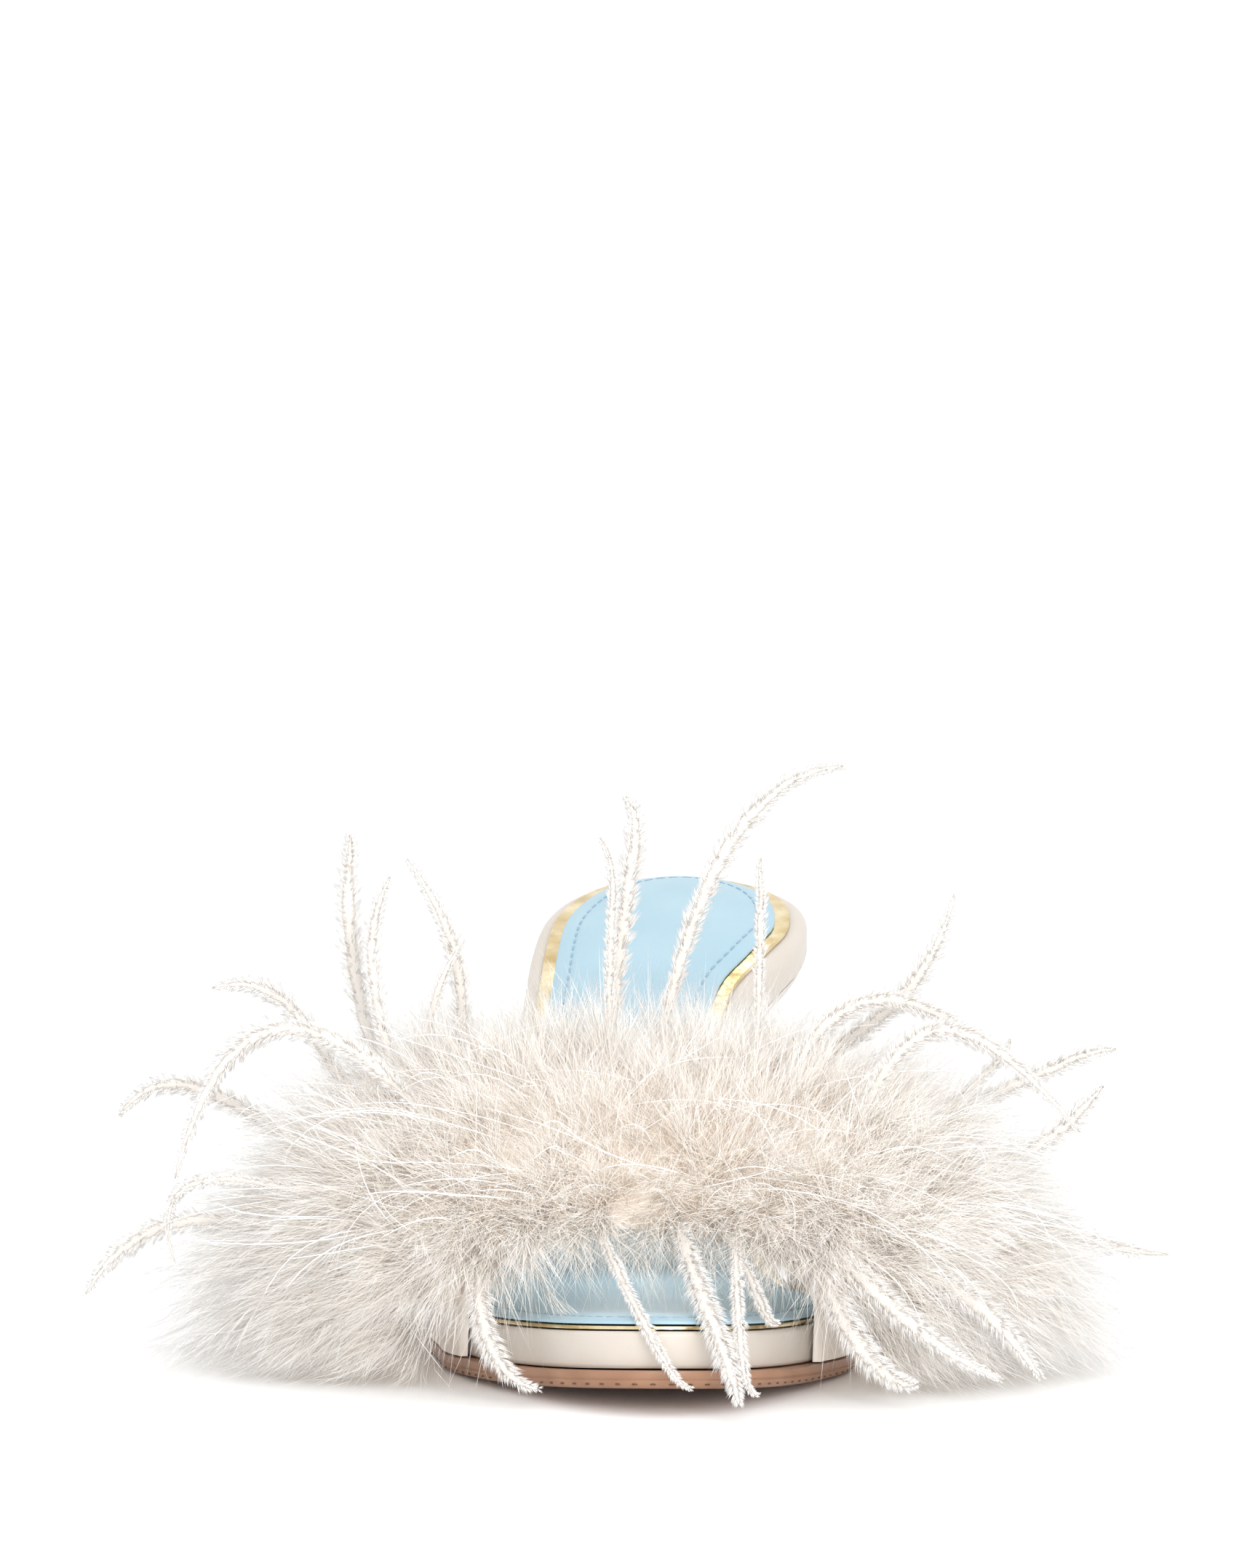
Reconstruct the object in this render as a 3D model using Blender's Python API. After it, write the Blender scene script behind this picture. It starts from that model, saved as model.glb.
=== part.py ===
"""A right-foot marabou slipper: an open-toed mule on a slim covered heel.

The toe points to -Y, the heel to +Y and the floor is z = 0. The origin lies on the floor under the ball of
the foot. Every sole layer follows one side profile and one plan outline, the upper is lofted over the same
last, and the feather trim grows out of the upper's own surface. Sizes are in metres.
"""

import math
import random

import bmesh
import bpy
from mathutils import Vector
from mathutils.bvhtree import BVHTree

# Driving sizes of the last
TOE_LENGTH = 0.076        # ball line to toe tip
HEEL_LENGTH = 0.155       # ball line to the back of the heel seat
BALL_HALF_WIDTH = 0.037   # covered insole at the ball
TOE_SPRING = 0.0045       # lift of the toe tip off the floor
SEAT_RISE = 0.0635        # rise of the foot bed from the ball to the back of the heel
INSTEP_HEIGHT = 0.0525    # top of the upper above the floor, at the instep line
INSTEP_LINE = 0.030       # instep line behind the ball line
TREAD_FRONT = 0.016       # the flat tread reaches this far before the ball line
TREAD_BACK = 0.008        # and this far behind it
TOE_ROUND = 0.058         # length over which the outline rounds in at the toe
SEAT_ROUND = 0.027        # and at the heel seat

# Layers of the sole, from the floor up
GAP = 0.0003              # running clearance between two pieces that touch on the real shoe
OUTSOLE_THICKNESS = 0.0031
OUTSOLE_BEVEL = 0.0007
INSOLE_THICKNESS = 0.0064
TRIM_THICKNESS = 0.0006
SOCK_THICKNESS = 0.0014
TOE_RIM_ROUND = 0.0009    # rounding of the covered insole's top edge at the toe
SEAT_RIM_ROUND = 0.0024   # and round the heel seat
SOCK_ROUND = 0.0006
TRIM_INSET_TOE = 0.0010   # metallic trim, in from the covered insole's edge
TRIM_INSET_SEAT = 0.0030
SOCK_INSET_TOE = 0.0013   # padded sock, in from the same edge
SOCK_INSET_SEAT = 0.0056
OUTSOLE_INSET_WAIST = 0.0012
WAIST_BLEND = (0.0, 0.45)    # a layer's toe values go over into its seat values between these two places
BORDER_BLEND = (-0.35, 0.35) # and those of the sock and its border, both as the outline's along
WELT_PROUD = 0.0002       # the outsole stands this far out past the upper

# Upper
UPPER_WALL = 0.0016
UPPER_SPRING = 0.0016     # the side wall stays upright this far above the insole's top
MOUTH_LATERAL = 0.043     # front edge of the upper, behind the toe tip, at the outer featherline
MOUTH_CROWN = 0.040       # at the middle
MOUTH_MEDIAL = 0.034      # at the inner featherline
THROAT_LATERAL = 0.027    # rear edge of the upper, behind the ball line, the same three places
THROAT_CROWN = 0.013
THROAT_MEDIAL = 0.024

# Heel and top piece
BREAST = 0.104            # front of the heel at the seat, behind the ball line
SEAT_INSET = 0.0006
TOP_PIECE_HEIGHT = 0.0060
TOP_PIECE_HALF_WIDTH = 0.0052
TOP_PIECE_LENGTH = 0.0115
TOP_PIECE_SETBACK = 0.0075  # its back lies this far before the back of the heel seat
TOP_PIECE_BACK = HEEL_LENGTH - TOP_PIECE_SETBACK
TOP_PIECE_FRONT = TOP_PIECE_BACK - TOP_PIECE_LENGTH

# Feather trim
PUFF_HALF_WIDTH = 0.067   # dense down, without its locks
PUFF_HEIGHT = 0.049
PUFF_FOOT = 0.0058        # lowest point of the dense down at its two ends
PUFF_OVERHANG = 0.0075    # the down reaches past the upper's two edges
PUFF_WRAP = 0.47          # how far the down's section turns to either side of upright, in half turns
LOCK_LENGTH = 0.0170
LOCK_CROWN_SHARE = 0.55   # locks on top are shorter by this share
PLUME_WIDTH = 0.0030
PLUME_TIP = 0.0005
PLUME_STRAIGHT = 0.3      # how far a strand starts along the down's growth rather than on a plain arc
PLUME_CELLS = 9
LOWEST_FEATHER = 0.0022   # feathers stay this far off the floor

# The foot bed's side profile: along is the share of the way from the tread to the heel's back
ARCH = [
    {"along": -0.10, "rise": 0.000},
    {"along": 0.000, "rise": 0.000},
    {"along": 0.116, "rise": 0.022},
    {"along": 0.218, "rise": 0.078},
    {"along": 0.340, "rise": 0.205},
    {"along": 0.490, "rise": 0.425},
    {"along": 0.656, "rise": 0.685},
    {"along": 0.776, "rise": 0.838},
    {"along": 0.900, "rise": 0.946},
    {"along": 1.000, "rise": 1.000},
]

# The covered insole's outline: along is -1 at the toe tip, 0 at the ball line and 1 at the heel's back.
# Centre and half are shares of the ball's half width, and centre is positive to the inner side.
OUTLINE = [
    {"along": -1.00, "centre": 0.120, "half": 0.740},
    {"along": -0.79, "centre": 0.085, "half": 0.750},
    {"along": -0.53, "centre": 0.040, "half": 0.830},
    {"along": -0.26, "centre": 0.010, "half": 0.938},
    {"along": -0.06, "centre": -0.080, "half": 0.920},
    {"along": 0.065, "centre": -0.133, "half": 0.862},
    {"along": 0.160, "centre": -0.155, "half": 0.802},
    {"along": 0.260, "centre": -0.178, "half": 0.725},
    {"along": 0.355, "centre": -0.205, "half": 0.650},
    {"along": 0.450, "centre": -0.220, "half": 0.590},
    {"along": 0.568, "centre": -0.205, "half": 0.565},
    {"along": 0.671, "centre": -0.150, "half": 0.585},
    {"along": 0.742, "centre": -0.060, "half": 0.655},
    {"along": 0.806, "centre": 0.015, "half": 0.702},
    {"along": 0.900, "centre": 0.055, "half": 0.692},
    {"along": 1.000, "centre": 0.040, "half": 0.670},
]

# Top of the upper along its middle: along is a share of the toe length before the ball line and of the
# instep line's distance behind it, and height is a share of the instep height
CROWN = [
    {"along": -0.75, "height": 0.400},
    {"along": -0.58, "height": 0.455},
    {"along": -0.47, "height": 0.525},
    {"along": -0.26, "height": 0.655},
    {"along": 0.00, "height": 0.800},
    {"along": 0.47, "height": 0.905},
    {"along": 1.00, "height": 1.000},
    {"along": 1.40, "height": 1.060},
]

# The heel from the seat (0) down to the top piece (1): how far each edge has moved to its lower place
HEEL_TAPER = [
    {"down": 0.00, "across": 0.00, "breast": 0.00, "back": 0.00},
    {"down": 0.05, "across": 0.07, "breast": 0.07, "back": 0.09},
    {"down": 0.13, "across": 0.30, "breast": 0.29, "back": 0.34},
    {"down": 0.24, "across": 0.56, "breast": 0.56, "back": 0.62},
    {"down": 0.40, "across": 0.78, "breast": 0.79, "back": 0.84},
    {"down": 0.62, "across": 0.91, "breast": 0.92, "back": 0.96},
    {"down": 0.82, "across": 0.97, "breast": 0.98, "back": 1.00},
    {"down": 1.00, "across": 1.00, "breast": 1.00, "back": 1.00},
]

# Long ostrich strands. seat is the (across, along) cell of the down that each grows from. It passes through
# via half way and ends at tip, both as shares of the puff's half width, the toe length and the puff's height.
PLUMES = [
    {"seat": (2, 2), "via": (-1.26, -0.26, 0.52), "tip": (-1.49, -0.32, 0.28)},
    {"seat": (3, 4), "via": (-1.18, 0.03, 0.96), "tip": (-1.43, 0.03, 0.86)},
    {"seat": (5, 4), "via": (-0.97, 0.16, 1.24), "tip": (-1.19, 0.18, 1.31)},
    {"seat": (8, 2), "via": (-0.96, -0.32, 1.26), "tip": (-1.24, -0.37, 0.70)},
    {"seat": (6, 4), "via": (-0.81, 0.11, 1.53), "tip": (-0.82, 0.13, 1.89)},
    {"seat": (7, 3), "via": (-0.74, -0.02, 1.38), "tip": (-0.70, 0.00, 1.76)},
    {"seat": (8, 5), "via": (-0.53, 0.16, 1.41), "tip": (-0.66, 0.22, 1.80)},
    {"seat": (12, 5), "via": (-0.06, 0.18, 1.67), "tip": (-0.07, 0.21, 2.03)},
    {"seat": (13, 5), "via": (0.20, 0.21, 1.82), "tip": (0.52, 0.26, 2.15)},
    {"seat": (16, 5), "via": (0.64, 0.13, 1.26), "tip": (0.82, 0.16, 1.68)},
    {"seat": (15, 3), "via": (0.60, -0.11, 1.34), "tip": (0.97, -0.18, 1.09)},
    {"seat": (17, 2), "via": (0.76, -0.29, 1.25), "tip": (1.15, -0.34, 0.87)},
    {"seat": (20, 4), "via": (1.02, 0.13, 1.01), "tip": (1.26, 0.13, 1.10)},
    {"seat": (21, 3), "via": (1.08, -0.05, 0.82), "tip": (1.22, -0.03, 1.00)},
    {"seat": (22, 3), "via": (1.12, -0.16, 0.51), "tip": (1.39, -0.24, 0.41)},
    {"seat": (20, 0), "via": (0.80, -0.68, 0.39), "tip": (1.05, -0.76, 0.09)},
    {"seat": (18, 0), "via": (0.62, -0.79, 0.39), "tip": (0.94, -0.87, 0.10)},
    {"seat": (17, 0), "via": (0.55, -0.84, 0.28), "tip": (0.72, -0.97, 0.09)},
    {"seat": (13, 0), "via": (0.185, -0.98, 0.36), "tip": (0.27, -1.14, 0.07)},
    {"seat": (7, 0), "via": (-0.40, -0.82, 0.30), "tip": (-0.25, -0.92, 0.07)},
]

ALONG_CELLS = 7           # cells of the down from the front to the back
ARCH_CELLS = 24           # facets of the upper across the foot
BAND_CELLS = 9            # and along it
WALL_CELLS = 2            # facets of its upright side
ARCH_COLUMNS = ARCH_CELLS + 2 * WALL_CELLS
ACROSS_CELLS = ARCH_COLUMNS - 2   # the down leaves out the lowest facet on either side
HEEL_ROWS = 12            # rows of facets down the heel
END_SPACING = 9           # stations in each rounded end of a sole layer
MIDDLE_SPACING = 26       # stations between the ends
SEED = 7


def table_value(table, key, column, at):
    """A smooth value between a table's rows that never overshoots them."""
    rows = [(row[key], row[column]) for row in table]
    if at <= rows[0][0]:
        return rows[0][1]
    if at >= rows[-1][0]:
        return rows[-1][1]
    slopes = [(b[1] - a[1]) / (b[0] - a[0]) for a, b in zip(rows, rows[1:])]
    tangents = [slopes[0]]
    for before, after in zip(slopes, slopes[1:]):
        level = before * after <= 0
        tangents.append(0.0 if level else 2 * before * after / (before + after))
    tangents.append(slopes[-1])
    i = max(n for n, row in enumerate(rows[:-1]) if row[0] <= at)
    width = rows[i + 1][0] - rows[i][0]
    t = (at - rows[i][0]) / width
    return (
        (2 * t**3 - 3 * t**2 + 1) * rows[i][1]
        + (t**3 - 2 * t**2 + t) * width * tangents[i]
        + (3 * t**2 - 2 * t**3) * rows[i + 1][1]
        + (t**3 - t**2) * width * tangents[i + 1]
    )


def mix(a, b, share):
    return a + (b - a) * share


def ease(share):
    share = min(max(share, 0.0), 1.0)
    return share * share * (3 - 2 * share)


def along_share(y):
    return y / TOE_LENGTH if y < 0 else y / HEEL_LENGTH


def tread(y):
    """Height of the outsole's underside: the toe spring, the flat tread and the arch up to the heel seat."""
    if y < -TREAD_FRONT:
        spring = (-y - TREAD_FRONT) / (TOE_LENGTH - TREAD_FRONT)
        return TOE_SPRING * spring**1.8
    if y <= TREAD_BACK:
        return 0.0
    along = (y - TREAD_BACK) / (HEEL_LENGTH - TREAD_BACK)
    return SEAT_RISE * table_value(ARCH, "along", "rise", along)


def above_tread(y, thickness):
    """A surface this far off the tread, measured square to it."""
    step = 0.0005
    slope = (tread(y + step) - tread(y - step)) / (2 * step)
    return tread(y) + thickness * math.hypot(1, slope)


OUTSOLE_TOP = OUTSOLE_THICKNESS
INSOLE_BOTTOM = OUTSOLE_TOP + GAP
INSOLE_TOP = INSOLE_BOTTOM + INSOLE_THICKNESS
TRIM_BOTTOM = INSOLE_TOP + GAP
TRIM_TOP = TRIM_BOTTOM + TRIM_THICKNESS
SOCK_BOTTOM = TRIM_TOP + GAP
SOCK_TOP = SOCK_BOTTOM + SOCK_THICKNESS
UPPER_OUTSET = 1.5 * GAP + UPPER_WALL


def toe_to_seat(y, toe_value, seat_value, blend=WAIST_BLEND):
    """Goes over from a forepart value to a heel-seat value through the waist."""
    start, end = blend
    return mix(toe_value, seat_value, ease((along_share(y) - start) / (end - start)))


def end_round(distance, length):
    distance = min(max(distance, 0.0), length)
    return math.sqrt(1 - (1 - distance / length) ** 2)


def edges(y, toe_inset=0.0, seat_inset=0.0, blend=WAIST_BLEND):
    """The outer and inner edge of a layer, as two X values, inset from the covered insole's outline."""
    along = along_share(y)
    half = BALL_HALF_WIDTH * table_value(OUTLINE, "along", "half", along)
    half -= toe_to_seat(y, toe_inset, seat_inset, blend)
    half *= end_round(y + TOE_LENGTH - toe_inset, TOE_ROUND)
    half *= end_round(HEEL_LENGTH - seat_inset - y, SEAT_ROUND)
    centre = BALL_HALF_WIDTH * table_value(OUTLINE, "along", "centre", along)
    return centre - half, centre + half


def stations(front, back, round_back=True):
    """Y values from front to back, close together where the outline rounds in."""
    nose = 1 - math.cos(0.5 * math.pi / END_SPACING)
    ys = []
    for n in range(END_SPACING):
        turn = 0.5 * math.pi * n / END_SPACING
        ys.append(front + TOE_ROUND * (1 - math.cos(turn)) + (0 if n else 0.25 * nose * TOE_ROUND))
    middle_front = front + TOE_ROUND
    middle_back = back - SEAT_ROUND if round_back else back
    for n in range(MIDDLE_SPACING + 1):
        ys.append(mix(middle_front, middle_back, n / MIDDLE_SPACING))
    for y in (-TREAD_FRONT, TREAD_BACK):
        nearest = min(range(len(ys)), key=lambda n: abs(ys[n] - y))
        ys[nearest] = y
    if round_back:
        for n in range(1, END_SPACING + 1):
            turn = 0.5 * math.pi * n / END_SPACING
            last = n == END_SPACING
            ys.append(back - SEAT_ROUND * (1 - math.sin(turn)) - (0.25 * nose * SEAT_ROUND if last else 0))
    return ys


def material(name, colour, roughness, metallic=0.0):
    made = bpy.data.materials.new(name)
    made.use_nodes = True
    shader = made.node_tree.nodes["Principled BSDF"]
    shader.inputs["Base Color"].default_value = (*colour, 1.0)
    shader.inputs["Roughness"].default_value = roughness
    shader.inputs["Metallic"].default_value = metallic
    return made


def add_object(name, bm, finish, sharp_degrees=35):
    """Turns a bmesh into one named object with its material, smooth where it is round."""
    bmesh.ops.recalc_face_normals(bm, faces=bm.faces)
    mesh = bpy.data.meshes.new(name)
    bm.to_mesh(mesh)
    bm.free()
    mesh.shade_smooth()
    mesh.set_sharp_from_angle(angle=math.radians(sharp_degrees))
    mesh.materials.append(finish)
    made = bpy.data.objects.new(name, mesh)
    bpy.context.scene.collection.objects.link(made)
    return made


def loft(bm, rings, cap=True):
    """Joins closed rings of points, one after the other, and returns the rings of vertices."""
    loops = [[bm.verts.new(point) for point in ring] for ring in rings]
    for a, b in zip(loops, loops[1:]):
        for n in range(len(a)):
            m = (n + 1) % len(a)
            bm.faces.new((a[n], a[m], b[m], b[n]))
    if cap:
        bm.faces.new(loops[0])
        bm.faces.new(list(reversed(loops[-1])))
    return loops


def mirrored_section(y, low, high, profile, toe_inset, seat_inset, blend=WAIST_BLEND):
    """A layer's section at y. Profile lists (inset, share of the height), bottom to top, for either edge."""
    outer, inner = edges(y, toe_inset, seat_inset, blend)
    middle = 0.5 * (outer + inner)
    reach = 0.5 * (inner - outer)
    points = []
    for inset, share in profile:
        points.append(Vector((middle - max(reach - inset, 0.15 * reach), y, mix(low, high, share))))
    for inset, share in reversed(profile):
        points.append(Vector((middle + max(reach - inset, 0.15 * reach), y, mix(low, high, share))))
    return points


def outsole(finish):
    """The leather outsole: forepart, waist and a straight end against the heel's breast."""
    outset = UPPER_OUTSET + WELT_PROUD
    bevel = OUTSOLE_BEVEL / OUTSOLE_THICKNESS
    profile = [(OUTSOLE_BEVEL, 0.0), (0.0, bevel), (0.0, 1.0)]
    rings = []
    for y in stations(-TOE_LENGTH - outset, BREAST - GAP, round_back=False):
        low, high = tread(y), above_tread(y, OUTSOLE_TOP)
        rings.append(mirrored_section(y, low, high, profile, -outset, OUTSOLE_INSET_WAIST))
    bm = bmesh.new()
    loft(bm, rings)
    return add_object("outsole", bm, finish)


def covered_insole(finish):
    """The insole board wrapped in leather, whose rounded side shows at the toe and round the heel seat."""
    rings = []
    for y in stations(-TOE_LENGTH, HEEL_LENGTH):
        low, high = above_tread(y, INSOLE_BOTTOM), above_tread(y, INSOLE_TOP)
        rim = toe_to_seat(y, TOE_RIM_ROUND, SEAT_RIM_ROUND)
        drop = rim / INSOLE_THICKNESS
        profile = [
            (0.4 * rim, 0.0),
            (0.0, 0.4 * drop),
            (0.0, 1 - drop),
            (0.13 * rim, 1 - 0.5 * drop),
            (0.5 * rim, 1 - 0.13 * drop),
            (rim, 1.0),
        ]
        rings.append(mirrored_section(y, low, high, profile, 0.0, 0.0))
    bm = bmesh.new()
    loft(bm, rings)
    return add_object("covered_insole", bm, finish)


def metallic_trim(finish):
    """The thin metallic leather that shows as a border round the sock."""
    profile = [(0, 0), (0, 1)]
    rings = []
    for y in stations(-TOE_LENGTH + TRIM_INSET_TOE, HEEL_LENGTH - TRIM_INSET_SEAT):
        low, high = above_tread(y, TRIM_BOTTOM), above_tread(y, TRIM_TOP)
        rings.append(mirrored_section(y, low, high, profile, TRIM_INSET_TOE, TRIM_INSET_SEAT, BORDER_BLEND))
    bm = bmesh.new()
    loft(bm, rings)
    return add_object("metallic_trim", bm, finish)


def padded_sock(finish):
    """The padded sock lining that the foot stands on."""
    profile = [(0, 0), (0, 1 - SOCK_ROUND / SOCK_THICKNESS), (SOCK_ROUND, 1)]
    rings = []
    for y in stations(-TOE_LENGTH + SOCK_INSET_TOE, HEEL_LENGTH - SOCK_INSET_SEAT):
        low, high = above_tread(y, SOCK_BOTTOM), above_tread(y, SOCK_TOP)
        rings.append(mirrored_section(y, low, high, profile, SOCK_INSET_TOE, SOCK_INSET_SEAT, BORDER_BLEND))
    bm = bmesh.new()
    loft(bm, rings)
    return add_object("padded_sock", bm, finish)


def crown_height(y):
    along = y / TOE_LENGTH if y < 0 else y / INSTEP_LINE
    return INSTEP_HEIGHT * table_value(CROWN, "along", "height", along)


def last_point(across, y, offset):
    """A point over the last. Across goes from 0 at the outer featherline to 1 at the inner one.

    Offset is measured out from the inside of the upper, so 0 is the lining and UPPER_WALL the outside.
    """
    outer, inner = edges(y, -1.5 * GAP, -1.5 * GAP)
    outer -= offset
    inner += offset
    foot = above_tread(y, INSOLE_BOTTOM)
    spring = above_tread(y, INSOLE_TOP) + UPPER_SPRING
    wall = WALL_CELLS / ARCH_COLUMNS
    if across < wall:
        return Vector((outer, y, mix(foot, spring, across / wall)))
    if across > 1 - wall:
        return Vector((inner, y, mix(foot, spring, (1 - across) / wall)))
    turn = math.pi * (1 - (across - wall) / (1 - 2 * wall))
    rise = crown_height(y) - UPPER_WALL + offset - spring
    reach = 0.5 * (inner - outer)
    swing = math.copysign(abs(math.cos(turn)) ** 0.93, math.cos(turn))
    return Vector((0.5 * (outer + inner) + reach * swing, y, spring + rise * math.sin(turn)))


def edge_line(across, lateral, crown, medial):
    """Where the upper's front or rear edge lies as it sweeps over the foot from side to side."""
    side = mix(lateral, medial, across)
    over = math.sin(math.pi * across)
    return mix(side, crown, over * over)


def upper_station(across, along):
    front = edge_line(across, MOUTH_LATERAL, MOUTH_CROWN, MOUTH_MEDIAL) - TOE_LENGTH
    back = edge_line(across, THROAT_LATERAL, THROAT_CROWN, THROAT_MEDIAL)
    return mix(front, back, along)


def upper(finish):
    """The vamp: a hollow band over the forefoot, open at the toe, at the throat and underneath."""
    rings = []
    for i in range(ARCH_COLUMNS + 1):
        across = i / ARCH_COLUMNS
        ring = []
        for j in range(BAND_CELLS + 1):
            ring.append(last_point(across, upper_station(across, j / BAND_CELLS), UPPER_WALL))
        for j in reversed(range(BAND_CELLS + 1)):
            ring.append(last_point(across, upper_station(across, j / BAND_CELLS), 0.0))
        rings.append(ring)
    bm = bmesh.new()
    loops = loft(bm, rings, cap=False)
    for loop in (loops[0], loops[-1]):
        for j in range(BAND_CELLS):
            k = len(loop) - 1 - j
            bm.faces.new((loop[j], loop[j + 1], loop[k - 1], loop[k]))
    return add_object("upper", bm, finish)


def seat_outline():
    """(side, share of the way from the breast to the back) round the heel seat, starting at the breast."""
    shares = [0.0, 0.18, 0.36, 0.52, 0.66, 0.78, 0.87, 0.94, 0.985]
    return [(-1, share) for share in shares] + [(1, share) for share in reversed(shares)]


def top_piece_half(share):
    """Half width of the top piece: a straight breast and a round back."""
    return TOP_PIECE_HALF_WIDTH * math.sqrt(max(1 - max(share - 0.35, 0) ** 2 / 0.65**2, 0.0))


def covered_heel(finish):
    """The slim heel, from the sloping seat down to the top piece, ruled across its seat."""
    outline = seat_outline()
    back = HEEL_LENGTH - SEAT_INSET
    foot = TOP_PIECE_HEIGHT + GAP
    middle = sum(edges(0.5 * (TOP_PIECE_FRONT + TOP_PIECE_BACK))) / 2
    rings = []
    for n in range(HEEL_ROWS + 1):
        down = (n / HEEL_ROWS) ** 1.5
        across = table_value(HEEL_TAPER, "down", "across", down)
        front_now = mix(BREAST, TOP_PIECE_FRONT, table_value(HEEL_TAPER, "down", "breast", down))
        back_now = mix(back, TOP_PIECE_BACK, table_value(HEEL_TAPER, "down", "back", down))
        ring = []
        for side, share in outline:
            seat_y = mix(BREAST, back, share)
            seat_x = edges(seat_y, 0.0, SEAT_INSET)[0 if side < 0 else 1]
            seat_z = above_tread(seat_y, INSOLE_BOTTOM) - GAP
            low_x = middle + side * top_piece_half(share)
            ring.append(Vector((
                mix(seat_x, low_x, across),
                mix(front_now, back_now, share),
                mix(seat_z, foot, down),
            )))
        rings.append(ring)
    bm = bmesh.new()
    loops = loft(bm, rings, cap=False)
    count = len(outline)
    for loop in (loops[0], loops[-1]):
        for n in range(count // 2 - 1):
            bm.faces.new((loop[n], loop[n + 1], loop[count - 2 - n], loop[count - 1 - n]))
    return add_object("covered_heel", bm, finish)


def top_piece(finish):
    """The wearing tip under the heel, flat on the floor."""
    middle = sum(edges(0.5 * (TOP_PIECE_FRONT + TOP_PIECE_BACK))) / 2
    rings = []
    for z in (0.0, TOP_PIECE_HEIGHT):
        ring = []
        for side, share in seat_outline():
            ring.append(Vector((
                middle + side * top_piece_half(share),
                mix(TOP_PIECE_FRONT, TOP_PIECE_BACK, share),
                z,
            )))
        rings.append(ring)
    bm = bmesh.new()
    loft(bm, rings)
    return add_object("top_piece", bm, finish)


def cell_share(i):
    """Where the i-th line between cells crosses the foot."""
    return (i + 1) / ARCH_COLUMNS


def cell_turn(k):
    """How far the k-th line between cells leans forwards or backwards, in radians."""
    return 2 * math.pi * PUFF_WRAP * (k / ALONG_CELLS - 0.5)


def growth(across, turn):
    """The way that feathers grow at a cell: out from the upper, forwards or backwards by turn."""
    around = math.pi * (1 - across)
    out = Vector((math.cos(around), 0, math.sin(around)))
    return (out * math.cos(turn) + Vector((0, math.sin(turn), 0))).normalized()


def puff_point(across, turn):
    """A point on the outside of the dense down."""
    station = upper_station(across, 0.5)
    middle = last_point(across, station, UPPER_WALL)
    around = math.pi * (1 - across)
    out = Vector((
        PUFF_HALF_WIDTH * math.copysign(abs(math.cos(around)) ** 0.8, math.cos(around)),
        station,
        PUFF_FOOT + (PUFF_HEIGHT - PUFF_FOOT) * math.sin(around) ** 0.8,
    ))
    root = last_point(across, upper_station(across, 0.5 + 0.5 * math.sin(turn)), UPPER_WALL)
    point = root + (out - middle) * math.cos(turn) ** 0.75
    point.y += PUFF_OVERHANG * math.sin(turn)
    point.z = max(point.z, PUFF_FOOT)
    return point


def puff_ring(across):
    """One section of the down: its outside from front to back, then its inside back along the upper."""
    ring = [puff_point(across, cell_turn(k)) for k in range(ALONG_CELLS + 1)]
    length = upper_station(across, 1.0) - upper_station(across, 0.0)
    reach = 0.45 * PUFF_OVERHANG / length
    for share in [1 + reach] + [j / BAND_CELLS for j in reversed(range(BAND_CELLS + 1))] + [-reach]:
        point = last_point(across, upper_station(across, share), UPPER_WALL + GAP)
        point.z = max(point.z, PUFF_FOOT)
        ring.append(point)
    return ring


def ribbon_faces(rings, count):
    """Faces between rings that are numbered one after the other, with both ends closed."""
    faces = [tuple(range(count))]
    for row in range(len(rings) - 1):
        low, high = row * count, (row + 1) * count
        for n in range(count):
            m = (n + 1) % count
            faces.append((low + n, low + m, high + m, high + n))
    faces.append(tuple(reversed(range((len(rings) - 1) * count, len(rings) * count))))
    return faces


def surface(rings):
    """The rings as a search tree of triangles."""
    return BVHTree.FromPolygons([point for ring in rings for point in ring], ribbon_faces(rings, len(rings[0])))


def lock_rings(corners, direction, length, lean):
    """The three rings that draw one cell of the down out into a tapering lock that droops a little."""
    droop = Vector((0, 0, -0.16))
    rings = []
    ring = corners
    for share, scale in ((0.34, 0.72), (0.33, 0.62), (0.33, 0.16)):
        step = (direction + droop).normalized() * length * share
        step.z = max(step.z, LOWEST_FEATHER - min(point.z for point in ring))
        middle = sum(ring, Vector()) / len(ring)
        ring = [middle + (point - middle) * scale + step for point in ring]
        rings.append(ring)
        direction = (direction + droop + lean).normalized()
    return rings


def fitted_lock(corners, direction, length, lean, keep_clear):
    """The longest lock, up to length, that stays clear of what is there already, or none."""
    middle = sum(corners, Vector()) / 4
    root = [mix(point, middle, 0.06) + direction * 0.0004 for point in corners]
    for _ in range(6):
        rings = lock_rings(corners, direction, length, lean)
        tree = surface([root] + rings)
        if not any(tree.overlap(other) for other in keep_clear):
            return rings, tree
        length *= 0.8
    return None, None


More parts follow.
